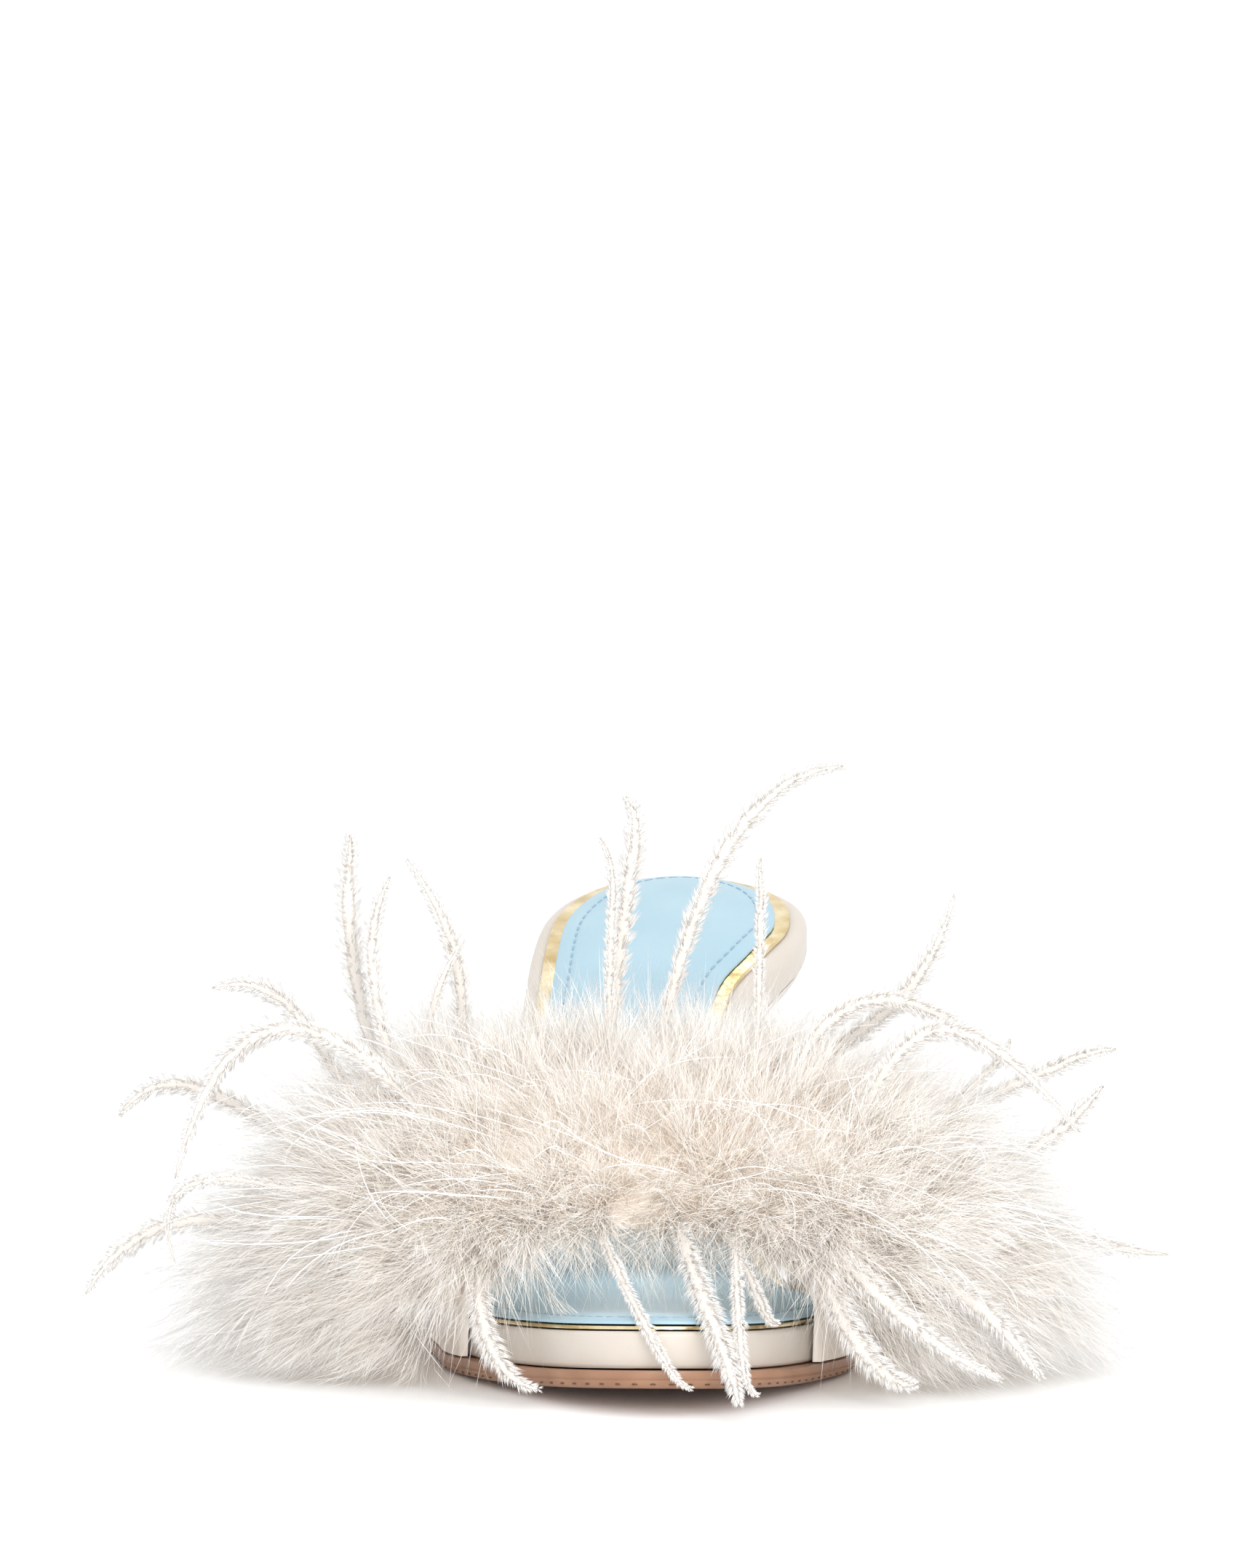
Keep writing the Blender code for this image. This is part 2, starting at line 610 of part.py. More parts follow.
def marabou_trim(finish):
    """The down round the upper, with one lock drawn out of each cell that holds no ostrich strand."""
    bm = bmesh.new()
    loops = loft(bm, [puff_ring(cell_share(i)) for i in range(ACROSS_CELLS + 1)])
    bmesh.ops.recalc_face_normals(bm, faces=bm.faces)
    rng = random.Random(SEED)
    taken = {row["seat"] for row in PLUMES}
    keep_clear = [surface(plume_rings(row, GAP)) for row in PLUMES]
    for i in range(ACROSS_CELLS):
        for k in range(ALONG_CELLS):
            across = 0.5 * (cell_share(i) + cell_share(i + 1))
            crown = math.sin(math.pi * across) ** 2
            length = LOCK_LENGTH * mix(1.0, LOCK_CROWN_SHARE, crown) * rng.uniform(0.75, 1.15)
            lean = Vector((rng.uniform(-0.12, 0.12), rng.uniform(-0.12, 0.12), 0))
            if (i, k) in taken:
                continue
            base = [loops[i][k], loops[i][k + 1], loops[i + 1][k + 1], loops[i + 1][k]]
            corners = [vert.co.copy() for vert in base]
            direction = growth(across, 0.5 * (cell_turn(k) + cell_turn(k + 1)))
            rings, tree = fitted_lock(corners, direction, length, lean, keep_clear)
            if rings is None:
                continue
            keep_clear.append(tree)
            face = next(face for face in base[0].link_faces if set(face.verts) == set(base))
            bm.faces.remove(face)
            previous = base
            for ring in rings:
                current = [bm.verts.new(point) for point in ring]
                for n in range(4):
                    m = (n + 1) % 4
                    bm.faces.new((previous[n], previous[m], current[m], current[n]))
                previous = current
            bm.faces.new(previous)
    return add_object("marabou_trim", bm, finish, sharp_degrees=60)


def bezier(points, t):
    a, b, c, d = points
    s = 1 - t
    return a * s**3 + b * 3 * s * s * t + c * 3 * s * t * t + d * t**3


def feather_place(shares):
    return Vector((shares[0] * PUFF_HALF_WIDTH, shares[1] * TOE_LENGTH, shares[2] * PUFF_HEIGHT))


def plume_rings(row, extra=0.0):
    """The sections of one long strand: a flat tapering ribbon that stands over its cell of the down."""
    i, k = row["seat"]
    across = 0.5 * (cell_share(i) + cell_share(i + 1))
    turn = 0.5 * (cell_turn(k) + cell_turn(k + 1))
    corners = [puff_point(cell_share(i + a), cell_turn(k + b)) for a, b in ((0, 0), (1, 0), (1, 1), (0, 1))]
    direction = growth(across, turn)
    normal = (corners[2] - corners[0]).cross(corners[3] - corners[1]).normalized()
    if normal.dot(direction) < 0:
        normal = -normal
    root = sum(corners, Vector()) / 4 + normal * (2.5 * GAP - extra)
    via, tip = feather_place(row["via"]), feather_place(row["tip"])
    arc = (via - root) * 4 / 3 - (tip - root) / 3
    leave = root + mix(arc, direction * arc.length, PLUME_STRAIGHT)
    arrive = (8 * via - root - 3 * leave - tip) / 3
    path = (root, leave, arrive, tip)
    rings = []
    flat = (tip - root).cross(Vector((0, 1, 0)))
    for n in range(PLUME_CELLS + 1):
        t = n / PLUME_CELLS
        ahead = (bezier(path, min(t + 0.01, 1)) - bezier(path, max(t - 0.01, 0))).normalized()
        flat = (flat - ahead * flat.dot(ahead)).normalized()
        thin = ahead.cross(flat).normalized()
        swell = math.sin(math.pi * min(0.12 + 0.8 * t, 1)) ** 0.6
        half = max(0.5 * PLUME_WIDTH * swell * (1 - 0.5 * t), 0.5 * PLUME_TIP)
        middle = bezier(path, t)
        wide, deep = flat * (half + extra), thin * (0.45 * half + extra)
        rings.append([middle + wide, middle + deep, middle - wide, middle - deep])
    return rings


def plume(number, row, finish):
    bm = bmesh.new()
    loft(bm, plume_rings(row))
    return add_object(f"ostrich_plume_{number:02d}", bm, finish)


def main():
    for old in list(bpy.data.objects):
        bpy.data.objects.remove(old, do_unlink=True)
    ivory = material("ivory_leather", (0.80, 0.74, 0.66), 0.42)
    tan = material("tan_sole_leather", (0.46, 0.28, 0.18), 0.45)
    gold = material("gold_foil_leather", (0.72, 0.55, 0.26), 0.28, 0.9)
    blue = material("pale_blue_leather", (0.55, 0.74, 0.84), 0.5)
    rubber = material("heel_tip_rubber", (0.42, 0.27, 0.18), 0.6)
    down = material("marabou_down", (0.88, 0.84, 0.78), 0.9)
    strand = material("ostrich_strand", (0.90, 0.87, 0.83), 0.85)
    outsole(tan)
    covered_insole(ivory)
    metallic_trim(gold)
    padded_sock(blue)
    upper(ivory)
    covered_heel(ivory)
    top_piece(rubber)
    marabou_trim(down)
    for number, row in enumerate(PLUMES, start=1):
        plume(number, row, strand)


main()
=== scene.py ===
"""The finished look of a right-foot marabou mule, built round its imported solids.

Laid out as a Blender add-on: the sizes and colours that a user would change are properties, each piece has
its own operator, and a panel in the sidebar lists them. Lengths are in metres and the toe points to -Y.
"""

import math

import bmesh
import bpy
import numpy as np
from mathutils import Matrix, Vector


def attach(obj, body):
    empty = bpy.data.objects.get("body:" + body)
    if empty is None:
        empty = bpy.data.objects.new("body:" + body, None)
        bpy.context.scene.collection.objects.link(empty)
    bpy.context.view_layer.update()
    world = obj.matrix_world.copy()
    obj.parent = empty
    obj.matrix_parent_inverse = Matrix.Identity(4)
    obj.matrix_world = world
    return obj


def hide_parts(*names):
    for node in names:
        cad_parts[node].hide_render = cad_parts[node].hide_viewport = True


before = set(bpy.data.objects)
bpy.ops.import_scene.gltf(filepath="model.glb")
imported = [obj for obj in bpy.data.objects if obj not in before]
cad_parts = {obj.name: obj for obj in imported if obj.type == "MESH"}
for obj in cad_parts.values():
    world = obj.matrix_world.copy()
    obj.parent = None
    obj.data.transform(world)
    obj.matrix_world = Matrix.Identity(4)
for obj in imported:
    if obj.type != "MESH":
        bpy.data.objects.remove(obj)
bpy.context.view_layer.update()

bl_info = {
    "name": "Marabou mule",
    "version": (1, 0, 0),
    "blender": (4, 5, 0),
    "location": "View3D > Sidebar > Marabou mule",
    "description": "Finishes a right-foot marabou mule: leathers, stitching, down, ostrich strands and stage",
    "category": "Mesh",
}

MM = 0.001

# The last, as the solids have it
TOE_LENGTH = 0.076
HEEL_LENGTH = 0.155
BALL_HALF_WIDTH = 0.037
TOE_SPRING = 0.0045
SEAT_RISE = 0.0635
INSTEP_HEIGHT = 0.0525
INSTEP_LINE = 0.030
TREAD_FRONT = 0.016
TREAD_BACK = 0.008
TOE_ROUND = 0.058
SEAT_ROUND = 0.027
ARCH = [(-0.10, 0.000), (0.000, 0.000), (0.116, 0.022), (0.218, 0.078), (0.340, 0.205),
        (0.490, 0.425), (0.656, 0.685), (0.776, 0.838), (0.900, 0.946), (1.000, 1.000)]
OUTLINE_HALF = [(-1.00, 0.740), (-0.79, 0.750), (-0.53, 0.830), (-0.26, 0.938), (-0.06, 0.920),
                (0.065, 0.862), (0.160, 0.802), (0.260, 0.725), (0.355, 0.650), (0.450, 0.590),
                (0.568, 0.565), (0.671, 0.585), (0.742, 0.655), (0.806, 0.702), (0.900, 0.692),
                (1.000, 0.670)]
OUTLINE_CENTRE = [(-1.00, 0.120), (-0.79, 0.085), (-0.53, 0.040), (-0.26, 0.010), (-0.06, -0.080),
                  (0.065, -0.133), (0.160, -0.155), (0.260, -0.178), (0.355, -0.205), (0.450, -0.220),
                  (0.568, -0.205), (0.671, -0.150), (0.742, -0.060), (0.806, 0.015), (0.900, 0.055),
                  (1.000, 0.040)]
WAIST_BLEND = (0.0, 0.45)
BORDER_BLEND = (-0.35, 0.35)
CROWN = [(-0.75, 0.400), (-0.58, 0.455), (-0.47, 0.525), (-0.26, 0.655), (0.00, 0.800), (0.47, 0.905),
         (1.00, 1.000), (1.40, 1.060)]

# Layers of the sole, from the floor up
GAP = 0.0003
OUTSOLE_TOP = 0.0031
INSOLE_BOTTOM = OUTSOLE_TOP + GAP
INSOLE_TOP = INSOLE_BOTTOM + 0.0064
TRIM_BOTTOM = INSOLE_TOP + GAP
TRIM_TOP = TRIM_BOTTOM + 0.0006
SOCK_BOTTOM = TRIM_TOP + GAP
SOCK_TOP = SOCK_BOTTOM + 0.0014
TRIM_INSET = (0.0010, 0.0030)
SOCK_INSET = (0.0013, 0.0056)
RIM_ROUND = (0.0009, 0.0024)
UPPER_WALL = 0.0016
UPPER_CLEAR = 1.5 * GAP
UPPER_SPRING = 0.0016
WELT_PROUD = 0.0002
OUTSOLE_INSET_WAIST = 0.0012
MOUTH = (0.043, 0.040, 0.034)
THROAT = (0.027, 0.013, 0.024)
BREAST = 0.104
SEAT_INSET = 0.0006
TOP_PIECE_HEIGHT = 0.0060
TOP_PIECE_HALF_WIDTH = 0.0052
TOP_PIECE_BACK = HEEL_LENGTH - 0.0075
TOP_PIECE_FRONT = TOP_PIECE_BACK - 0.0115
HEEL_DOWN = (0.00, 0.05, 0.13, 0.24, 0.40, 0.62, 0.82, 1.00)
HEEL_ACROSS = list(zip(HEEL_DOWN, (0.00, 0.07, 0.30, 0.56, 0.78, 0.91, 0.97, 1.00)))
HEEL_BREAST = list(zip(HEEL_DOWN, (0.00, 0.07, 0.29, 0.56, 0.79, 0.92, 0.98, 1.00)))
HEEL_BACK = list(zip(HEEL_DOWN, (0.00, 0.09, 0.34, 0.62, 0.84, 0.96, 1.00, 1.00)))

# Stitches
SOLE_STITCH_PITCH = 3.2 * MM
SOLE_STITCH_LENGTH = 1.1 * MM
SOLE_THREAD = 0.42 * MM
SOLE_STITCH_INSET = 0.28 * MM
SOLE_STITCH_HEIGHT = 0.72 * MM
SOCK_STITCH_DEPTH = 0.28 * MM

# The down
PUFF_HALF_WIDTH = 0.067
PUFF_HEIGHT = 0.049
PUFF_FOOT = 0.0058
PUFF_OVERHANG = 0.0075
PUFF_WRAP = 0.47
ARCH_COLUMNS = 28
WALL_SHARE = 2 / ARCH_COLUMNS
ALONG_CELLS = 7
# How far plumelets stand out of the dense down, from the outer side over the foot to the inner one
REACH = [(0.00, 1.20), (0.10, 1.35), (0.24, 1.30), (0.36, 0.80), (0.50, 0.50), (0.64, 0.62), (0.80, 0.95),
         (1.00, 1.05)]
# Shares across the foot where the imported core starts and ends
CORE_ENDS = (0.085, 0.915)
FRINGE_REACH = 3.2 * MM
MOUTH_HAIR_LENGTH = 25 * MM
# Distances from the warm centre at which the cream is strongest and at which it has gone
WARM_RANGE = (0.018, 0.095)

STRAND_STEPS = 40
# A strand whose tip ends lower than this share of the puff's height hangs, and is wider by this factor
HANGING_TIP = 0.2
HANGING_WIDTH = 1.25
# Long ostrich strands: the cell of the down that each grows from, where it passes half way, and where it
# ends, as shares of the puff's half width, the toe length and the puff's height. The first twenty stand
# for the solids of the same number.
STRANDS = [
    ((2, 2), (-1.26, -0.26, 0.52), (-1.49, -0.32, 0.28)),
    ((3, 4), (-1.18, 0.03, 0.96), (-1.43, 0.03, 0.86)),
    ((5, 4), (-0.97, 0.16, 1.24), (-1.19, 0.18, 1.31)),
    ((8, 2), (-0.96, -0.32, 1.26), (-1.24, -0.37, 0.70)),
    ((6, 4), (-0.81, 0.11, 1.53), (-0.82, 0.13, 1.89)),
    ((7, 3), (-0.74, -0.02, 1.38), (-0.70, 0.00, 1.76)),
    ((8, 5), (-0.53, 0.16, 1.41), (-0.66, 0.22, 1.80)),
    ((12, 5), (-0.06, 0.18, 1.67), (-0.07, 0.21, 2.03)),
    ((13, 5), (0.20, 0.21, 1.82), (0.52, 0.26, 2.15)),
    ((16, 5), (0.64, 0.13, 1.26), (0.82, 0.16, 1.68)),
    ((15, 3), (0.60, -0.11, 1.34), (0.97, -0.18, 1.09)),
    ((17, 2), (0.76, -0.29, 1.25), (1.15, -0.34, 0.87)),
    ((20, 4), (1.02, 0.13, 1.01), (1.26, 0.13, 1.10)),
    ((21, 3), (1.08, -0.05, 0.82), (1.22, -0.03, 1.00)),
    ((22, 3), (1.12, -0.16, 0.51), (1.39, -0.24, 0.41)),
    ((20, 0), (0.80, -0.68, 0.39), (1.05, -0.76, 0.09)),
    ((18, 0), (0.62, -0.79, 0.39), (0.94, -0.87, 0.10)),
    ((17, 0), (0.55, -0.84, 0.28), (0.72, -0.97, 0.09)),
    ((13, 0), (0.185, -0.98, 0.36), (0.27, -1.14, 0.07)),
    ((7, 0), (-0.40, -0.82, 0.30), (-0.25, -0.92, 0.07)),
]
FINE_STRANDS = [
    ((12, 4), (-0.10, 0.05, 1.57), (-0.13, 0.03, 1.90)),
    ((15, 4), (0.30, 0.05, 1.55), (0.31, 0.03, 1.82)),
    ((7, 4), (-0.59, 0.03, 1.26), (-0.50, 0.05, 1.52)),
    ((4, 1), (-1.14, -0.39, 0.72), (-1.22, -0.46, 0.42)),
    ((19, 3), (0.89, -0.07, 1.02), (0.96, -0.07, 1.18)),
    ((14, 0), (0.29, -0.80, 0.44), (0.36, -0.90, 0.31)),
    ((15, 0), (0.26, -1.00, 0.34), (0.32, -1.11, 0.11)),
    ((11, 0), (0.00, -0.97, 0.36), (0.15, -1.11, 0.13)),
]


def look(name):
    """One of the scene's property groups."""
    return getattr(bpy.context.scene, "mule_" + name)


def mix(a, b, share):
    return a + (b - a) * share


def ease(share):
    share = min(max(share, 0.0), 1.0)
    return share * share * (3 - 2 * share)


def table_value(rows, at):
    """A smooth value between a table's rows that never overshoots them."""
    if at <= rows[0][0]:
        return rows[0][1]
    if at >= rows[-1][0]:
        return rows[-1][1]
    slopes = [(b[1] - a[1]) / (b[0] - a[0]) for a, b in zip(rows, rows[1:])]
    tangents = [slopes[0]]
    for before, after in zip(slopes, slopes[1:]):
        tangents.append(0.0 if before * after <= 0 else 2 * before * after / (before + after))
    tangents.append(slopes[-1])
    i = max(n for n, row in enumerate(rows[:-1]) if row[0] <= at)
    width = rows[i + 1][0] - rows[i][0]
    t = (at - rows[i][0]) / width
    return (
        (2 * t**3 - 3 * t**2 + 1) * rows[i][1]
        + (t**3 - 2 * t**2 + t) * width * tangents[i]
        + (3 * t**2 - 2 * t**3) * rows[i + 1][1]
        + (t**3 - t**2) * width * tangents[i + 1]
    )


def along_share(y):
    return y / TOE_LENGTH if y < 0 else y / HEEL_LENGTH


def tread(y):
    """Height of the outsole's underside."""
    if y < -TREAD_FRONT:
        return TOE_SPRING * ((-y - TREAD_FRONT) / (TOE_LENGTH - TREAD_FRONT)) ** 1.8
    if y <= TREAD_BACK:
        return 0.0
    return SEAT_RISE * table_value(ARCH, (y - TREAD_BACK) / (HEEL_LENGTH - TREAD_BACK))


def above_tread(y, thickness):
    """A surface this far off the tread, measured square to it."""
    step = 0.5 * MM
    slope = (tread(y + step) - tread(y - step)) / (2 * step)
    return tread(y) + thickness * math.hypot(1, slope)


def toe_to_seat(y, pair, blend=WAIST_BLEND):
    """Goes over from a forepart value to a heel-seat value between two places along the outline."""
    return mix(pair[0], pair[1], ease((along_share(y) - blend[0]) / (blend[1] - blend[0])))


def end_round(distance, length):
    distance = min(max(distance, 0.0), length)
    return math.sqrt(1 - (1 - distance / length) ** 2)


def edges(y, inset=(0.0, 0.0), blend=WAIST_BLEND):
    """The outer and inner edge of a layer, inset from the insole's outline at the toe and the seat."""
    along = along_share(y)
    half = BALL_HALF_WIDTH * table_value(OUTLINE_HALF, along) - toe_to_seat(y, inset, blend)
    half *= end_round(y + TOE_LENGTH - inset[0], TOE_ROUND)
    half *= end_round(HEEL_LENGTH - inset[1] - y, SEAT_ROUND)
    centre = BALL_HALF_WIDTH * table_value(OUTLINE_CENTRE, along)
    return centre - half, centre + half


def crown_height(y):
    return INSTEP_HEIGHT * table_value(CROWN, y / TOE_LENGTH if y < 0 else y / INSTEP_LINE)


def last_point(across, y, offset):
    """A point over the last, offset from the lining: 0 is the outer featherline and 1 the inner one."""
    outer, inner = edges(y, (-UPPER_CLEAR, -UPPER_CLEAR))
    outer, inner = outer - offset, inner + offset
    foot = above_tread(y, INSOLE_BOTTOM)
    spring = above_tread(y, INSOLE_TOP) + UPPER_SPRING
    if across < WALL_SHARE:
        return Vector((outer, y, mix(foot, spring, across / WALL_SHARE)))
    if across > 1 - WALL_SHARE:
        return Vector((inner, y, mix(foot, spring, (1 - across) / WALL_SHARE)))
    turn = math.pi * (1 - (across - WALL_SHARE) / (1 - 2 * WALL_SHARE))
    rise = crown_height(y) - UPPER_WALL + offset - spring
    swing = math.copysign(abs(math.cos(turn)) ** 0.93, math.cos(turn))
    return Vector((0.5 * (outer + inner) + 0.5 * (inner - outer) * swing, y, spring + rise * math.sin(turn)))


def upper_station(across, along):
    over = math.sin(math.pi * across) ** 2
    front = mix(mix(MOUTH[0], MOUTH[2], across), MOUTH[1], over) - TOE_LENGTH
    back = mix(mix(THROAT[0], THROAT[2], across), THROAT[1], over)
    return mix(front, back, along)


def growth(across, turn):
    """The way that feathers grow: out from the upper, forwards or backwards by turn."""
    around = math.pi * (1 - across)
    out = Vector((math.cos(around), 0, math.sin(around)))
    return (out * math.cos(turn) + Vector((0, math.sin(turn), 0))).normalized()


def puff_root(across, turn):
    return last_point(across, upper_station(across, 0.5 + 0.5 * math.sin(turn)), UPPER_WALL)


def puff_point(across, turn):
    """A point on the outside of the dense down."""
    station = upper_station(across, 0.5)
    middle = last_point(across, station, UPPER_WALL)
    around = math.pi * (1 - across)
    out = Vector((
        PUFF_HALF_WIDTH * math.copysign(abs(math.cos(around)) ** 0.8, math.cos(around)),
        station,
        PUFF_FOOT + (PUFF_HEIGHT - PUFF_FOOT) * math.sin(around) ** 0.8,
    ))
    point = puff_root(across, turn) + (out - middle) * math.cos(turn) ** 0.75
    point.y += PUFF_OVERHANG * math.sin(turn)
    point.z = max(point.z, PUFF_FOOT)
    return point


def bezier(points, t):
    a, b, c, d = points
    s = 1 - t
    return a * s**3 + b * 3 * s * s * t + c * 3 * s * t * t + d * t**3


def finish_piece(piece, slot, *nodes):
    """Seats a finished piece on the shoe's one body."""
    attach(piece, "root")
    if nodes:
        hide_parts(*nodes)
    return piece


def mesh_piece(name, bm, material, sharp_degrees=40):
    """Turns a bmesh into an object at the origin, smooth where it is round."""
    bmesh.ops.recalc_face_normals(bm, faces=bm.faces)
    mesh = bpy.data.meshes.new(name)
    bm.to_mesh(mesh)
    bm.free()
    mesh.shade_smooth()
    mesh.set_sharp_from_angle(angle=math.radians(sharp_degrees))
    mesh.materials.append(material)
    piece = bpy.data.objects.new(name, mesh)
    bpy.context.scene.collection.objects.link(piece)
    return piece


def drawn_out(rings):
    """Extrudes a face from ring to ring. The start is left open and the last face stays as a cap."""
    bm = bmesh.new()
    face = bm.faces.new([bm.verts.new(point) for point in rings[0]])
    for ring in rings[1:]:
        face = bmesh.ops.extrude_discrete_faces(bm, faces=[face])["faces"][0]
        for vert, point in zip(face.verts, ring):
            vert.co = point
    return bm, face


def closed_loft(rings):
    bm, _ = drawn_out(rings)
    bmesh.ops.holes_fill(bm, edges=[edge for edge in bm.edges if edge.is_boundary], sides=0)
    return bm


def layer_stations(inset, straight_back):
    """Y values from toe to seat, close together where the outline rounds in."""
    front, back = -TOE_LENGTH + inset[0], HEEL_LENGTH - inset[1]
    ys = [front + TOE_ROUND * (1 - math.cos(turn)) for turn in np.linspace(0.03, 0.5 * math.pi, 26)]
    if straight_back:
        return ys + list(np.linspace(front + TOE_ROUND, BREAST - GAP - max(inset[1], 0), 64)[1:])
    ys += list(np.linspace(front + TOE_ROUND, back - SEAT_ROUND, 64)[1:-1])
    turns = np.linspace(0, 0.5 * math.pi - 0.03, 22)
    return ys + [back - SEAT_ROUND * (1 - math.sin(turn)) for turn in turns]


def layer_ring(inset, height, spread=1.0, straight_back=False, blend=WAIST_BLEND):
    """One closed line round a sole layer, drawn in towards its middle line by spread."""
    outer_side, inner_side = [], []
    for y in layer_stations(inset, straight_back):
        outer, inner = edges(y, inset, blend)
        middle, half = 0.5 * (outer + inner), 0.5 * (inner - outer) * spread
        z = above_tread(y, toe_to_seat(y, height))
        outer_side.append(Vector((middle - half, y, z)))
        inner_side.append(Vector((middle + half, y, z)))
    return outer_side + inner_side[::-1]


def layer(name, rows, material, straight_back=False, sharp_degrees=40, blend=WAIST_BLEND):
    """A sole layer from rows of (toe and seat inset, toe and seat height), from its underside to its top."""
    how = (straight_back, blend)
    rings = [layer_ring(*rows[0], spread, *how) for spread in (0.0, 0.5)]
    rings += [layer_ring(*row, 1.0, *how) for row in rows]
    rings += [layer_ring(*rows[-1], spread, *how) for spread in (0.75, 0.5, 0.25, 0.0)]
    bm, cap = drawn_out(rings)
    bmesh.ops.delete(bm, geom=[cap], context="FACES_ONLY")
    bmesh.ops.remove_doubles(bm, verts=bm.verts, dist=0.002 * MM)
    bmesh.ops.holes_fill(bm, edges=[edge for edge in bm.edges if edge.is_boundary], sides=0)
    return mesh_piece(name, bm, material, sharp_degrees)


def both(value):
    return value, value


def added(pair, more):
    return pair[0] + more, pair[1] + more


def chosen(name):
    """A colour as the user set it, with alpha."""
    return (*getattr(look("colours"), name), 1.0)


def linear(hex_colour):
    """An sRGB hex colour as linear red, green, blue and alpha."""
    parts = [int(hex_colour[n:n + 2], 16) / 255 for n in (0, 2, 4)]
    return tuple(p / 12.92 if p <= 0.04045 else ((p + 0.055) / 1.055) ** 2.4 for p in parts) + (1.0,)


def per_mm(size):
    """The scale of a pattern whose marks are this many millimetres across."""
    return 1.0 / (size * MM)


def add_node(tree, kind, inputs=None, **settings):
    """Adds one node with its settings, values and links."""
    made = tree.nodes.new(kind)
    for key, value in settings.items():
        setattr(made, key, value)
    for socket, value in (inputs or {}).items():
        if isinstance(value, bpy.types.NodeSocket):
            tree.links.new(value, made.inputs[socket])
        else:
            made.inputs[socket].default_value = value
    return made


def noise(tree, place, size, detail=2.0):
    """Even noise with marks of the given size in millimetres."""
    inputs = {"Vector": place, "Scale": per_mm(size), "Detail": detail}
    return add_node(tree, "ShaderNodeTexNoise", inputs).outputs["Fac"]


def pebble(tree, place, size):
    """The closed cells of a hide's grain, each of the given size in millimetres."""
    inputs = {"Vector": place, "Scale": per_mm(size)}
    return add_node(tree, "ShaderNodeTexVoronoi", inputs, feature="SMOOTH_F1").outputs["Distance"]


def ramp(tree, value, low, high):
    """A value spread out from 0 at low to 1 at high."""
    inputs = {"Value": value, "From Min": low, "From Max": high}
    return add_node(tree, "ShaderNodeMapRange", inputs).outputs["Result"]


def blended(tree, share, first, second):
    inputs = {"Factor": share, "A": first, "B": second}
    return add_node(tree, "ShaderNodeMix", inputs, data_type="RGBA").outputs["Result"]


def raised(tree, shader, height, distance, strength, under=None):
    """Feeds a height into the shader's normal, over an earlier bump if there is one."""
    inputs = {"Height": height, "Distance": distance, "Strength": strength}
    if under:
        inputs["Normal"] = under
    bump = add_node(tree, "ShaderNodeBump", inputs)
    tree.links.new(bump.outputs["Normal"], shader.inputs["Normal"])
    return bump.outputs["Normal"]


def new_material(name, surface):
    """A material with constant surface values, and its tree, shader and object coordinates."""
    material = bpy.data.materials.new(name)
    material.use_nodes = True
    tree = material.node_tree
    shader = tree.nodes["Principled BSDF"]
    for socket, value in surface.items():
        shader.inputs[socket].default_value = value
    return material, tree, shader, add_node(tree, "ShaderNodeTexCoord").outputs["Object"]


def mottled_material(name, size, dark, light, surface, detail=3.0):
    """A new material that drifts between two colours over patches of the given size in millimetres."""
    material, tree, shader, place = new_material(name, surface)
    drift = ramp(tree, noise(tree, place, size, detail), 0.3, 0.7)
    tree.links.new(blended(tree, drift, dark, light), shader.inputs["Base Color"])
    return material, tree, shader, place


def smooth_leather(name, dark, light):
    """Smooth chrome-tanned hide with a polished finish: soft highlights, a fine pebble and faint pulls."""
    material, tree, shader, place = mottled_material(name, 9.0, dark, light, {
        "Roughness": 0.34, "Coat Weight": 0.25, "Coat Roughness": 0.2, "Subsurface Weight": 0.06,
        "Subsurface Scale": 0.8 * MM})
    pulls = raised(tree, shader, noise(tree, place, 6.0), 0.25 * MM, 0.5)
    raised(tree, shader, pebble(tree, place, 0.7), 0.04 * MM, 0.5, pulls)
    return material


def ivory_calf_leather():
    return smooth_leather("ivory_calf_leather", linear("c8bfb4"), chosen("ivory"))


def ivory_kid_leather():
    return smooth_leather("ivory_kid_leather", linear("e6ddd2"), chosen("upper"))


def gold_foil_leather():
    """Leather laminated with metal foil: bright, slightly rippled, with a worn hairline grain."""
    material, tree, shader, place = mottled_material(
        "gold_foil_leather", 5.0, linear("cdb37c"), chosen("gold"), {"Metallic": 1.0, "Roughness": 0.24})
    ripple = raised(tree, shader, noise(tree, place, 3.5), 0.5 * MM, 0.7)
    raised(tree, shader, noise(tree, place, 0.5), 0.03 * MM, 0.6, ripple)
    return material


def pale_blue_sock_leather():
    """Soft sheepskin lining over thin foam: matt, even, with a fine open grain."""
    material, tree, shader, place = mottled_material(
        "pale_blue_sock_leather", 14.0, linear("9dbbc9"), chosen("blue"),
        {"Roughness": 0.5, "Sheen Weight": 0.12, "Sheen Roughness": 0.5})
    grain = raised(tree, shader, pebble(tree, place, 0.8), 0.05 * MM, 0.6)
    raised(tree, shader, noise(tree, place, 8.0), 0.3 * MM, 0.4, grain)
    return material


def tan_sole_leather():
    """Vegetable-tanned sole bend: close fibre layers along the cut edge, waxed and a little uneven."""
    material, tree, shader, place = mottled_material(
        "tan_sole_leather", 7.0, linear("8f684f"), chosen("tan"),
        {"Roughness": 0.42, "Coat Weight": 0.1, "Coat Roughness": 0.3}, 5.0)
    flat = add_node(tree, "ShaderNodeMapping", {"Vector": place, "Scale": (1.0, 1.0, 9.0)}).outputs["Vector"]
    raised(tree, shader, noise(tree, flat, 4.0, 4.0), 0.12 * MM, 0.6)
    return material


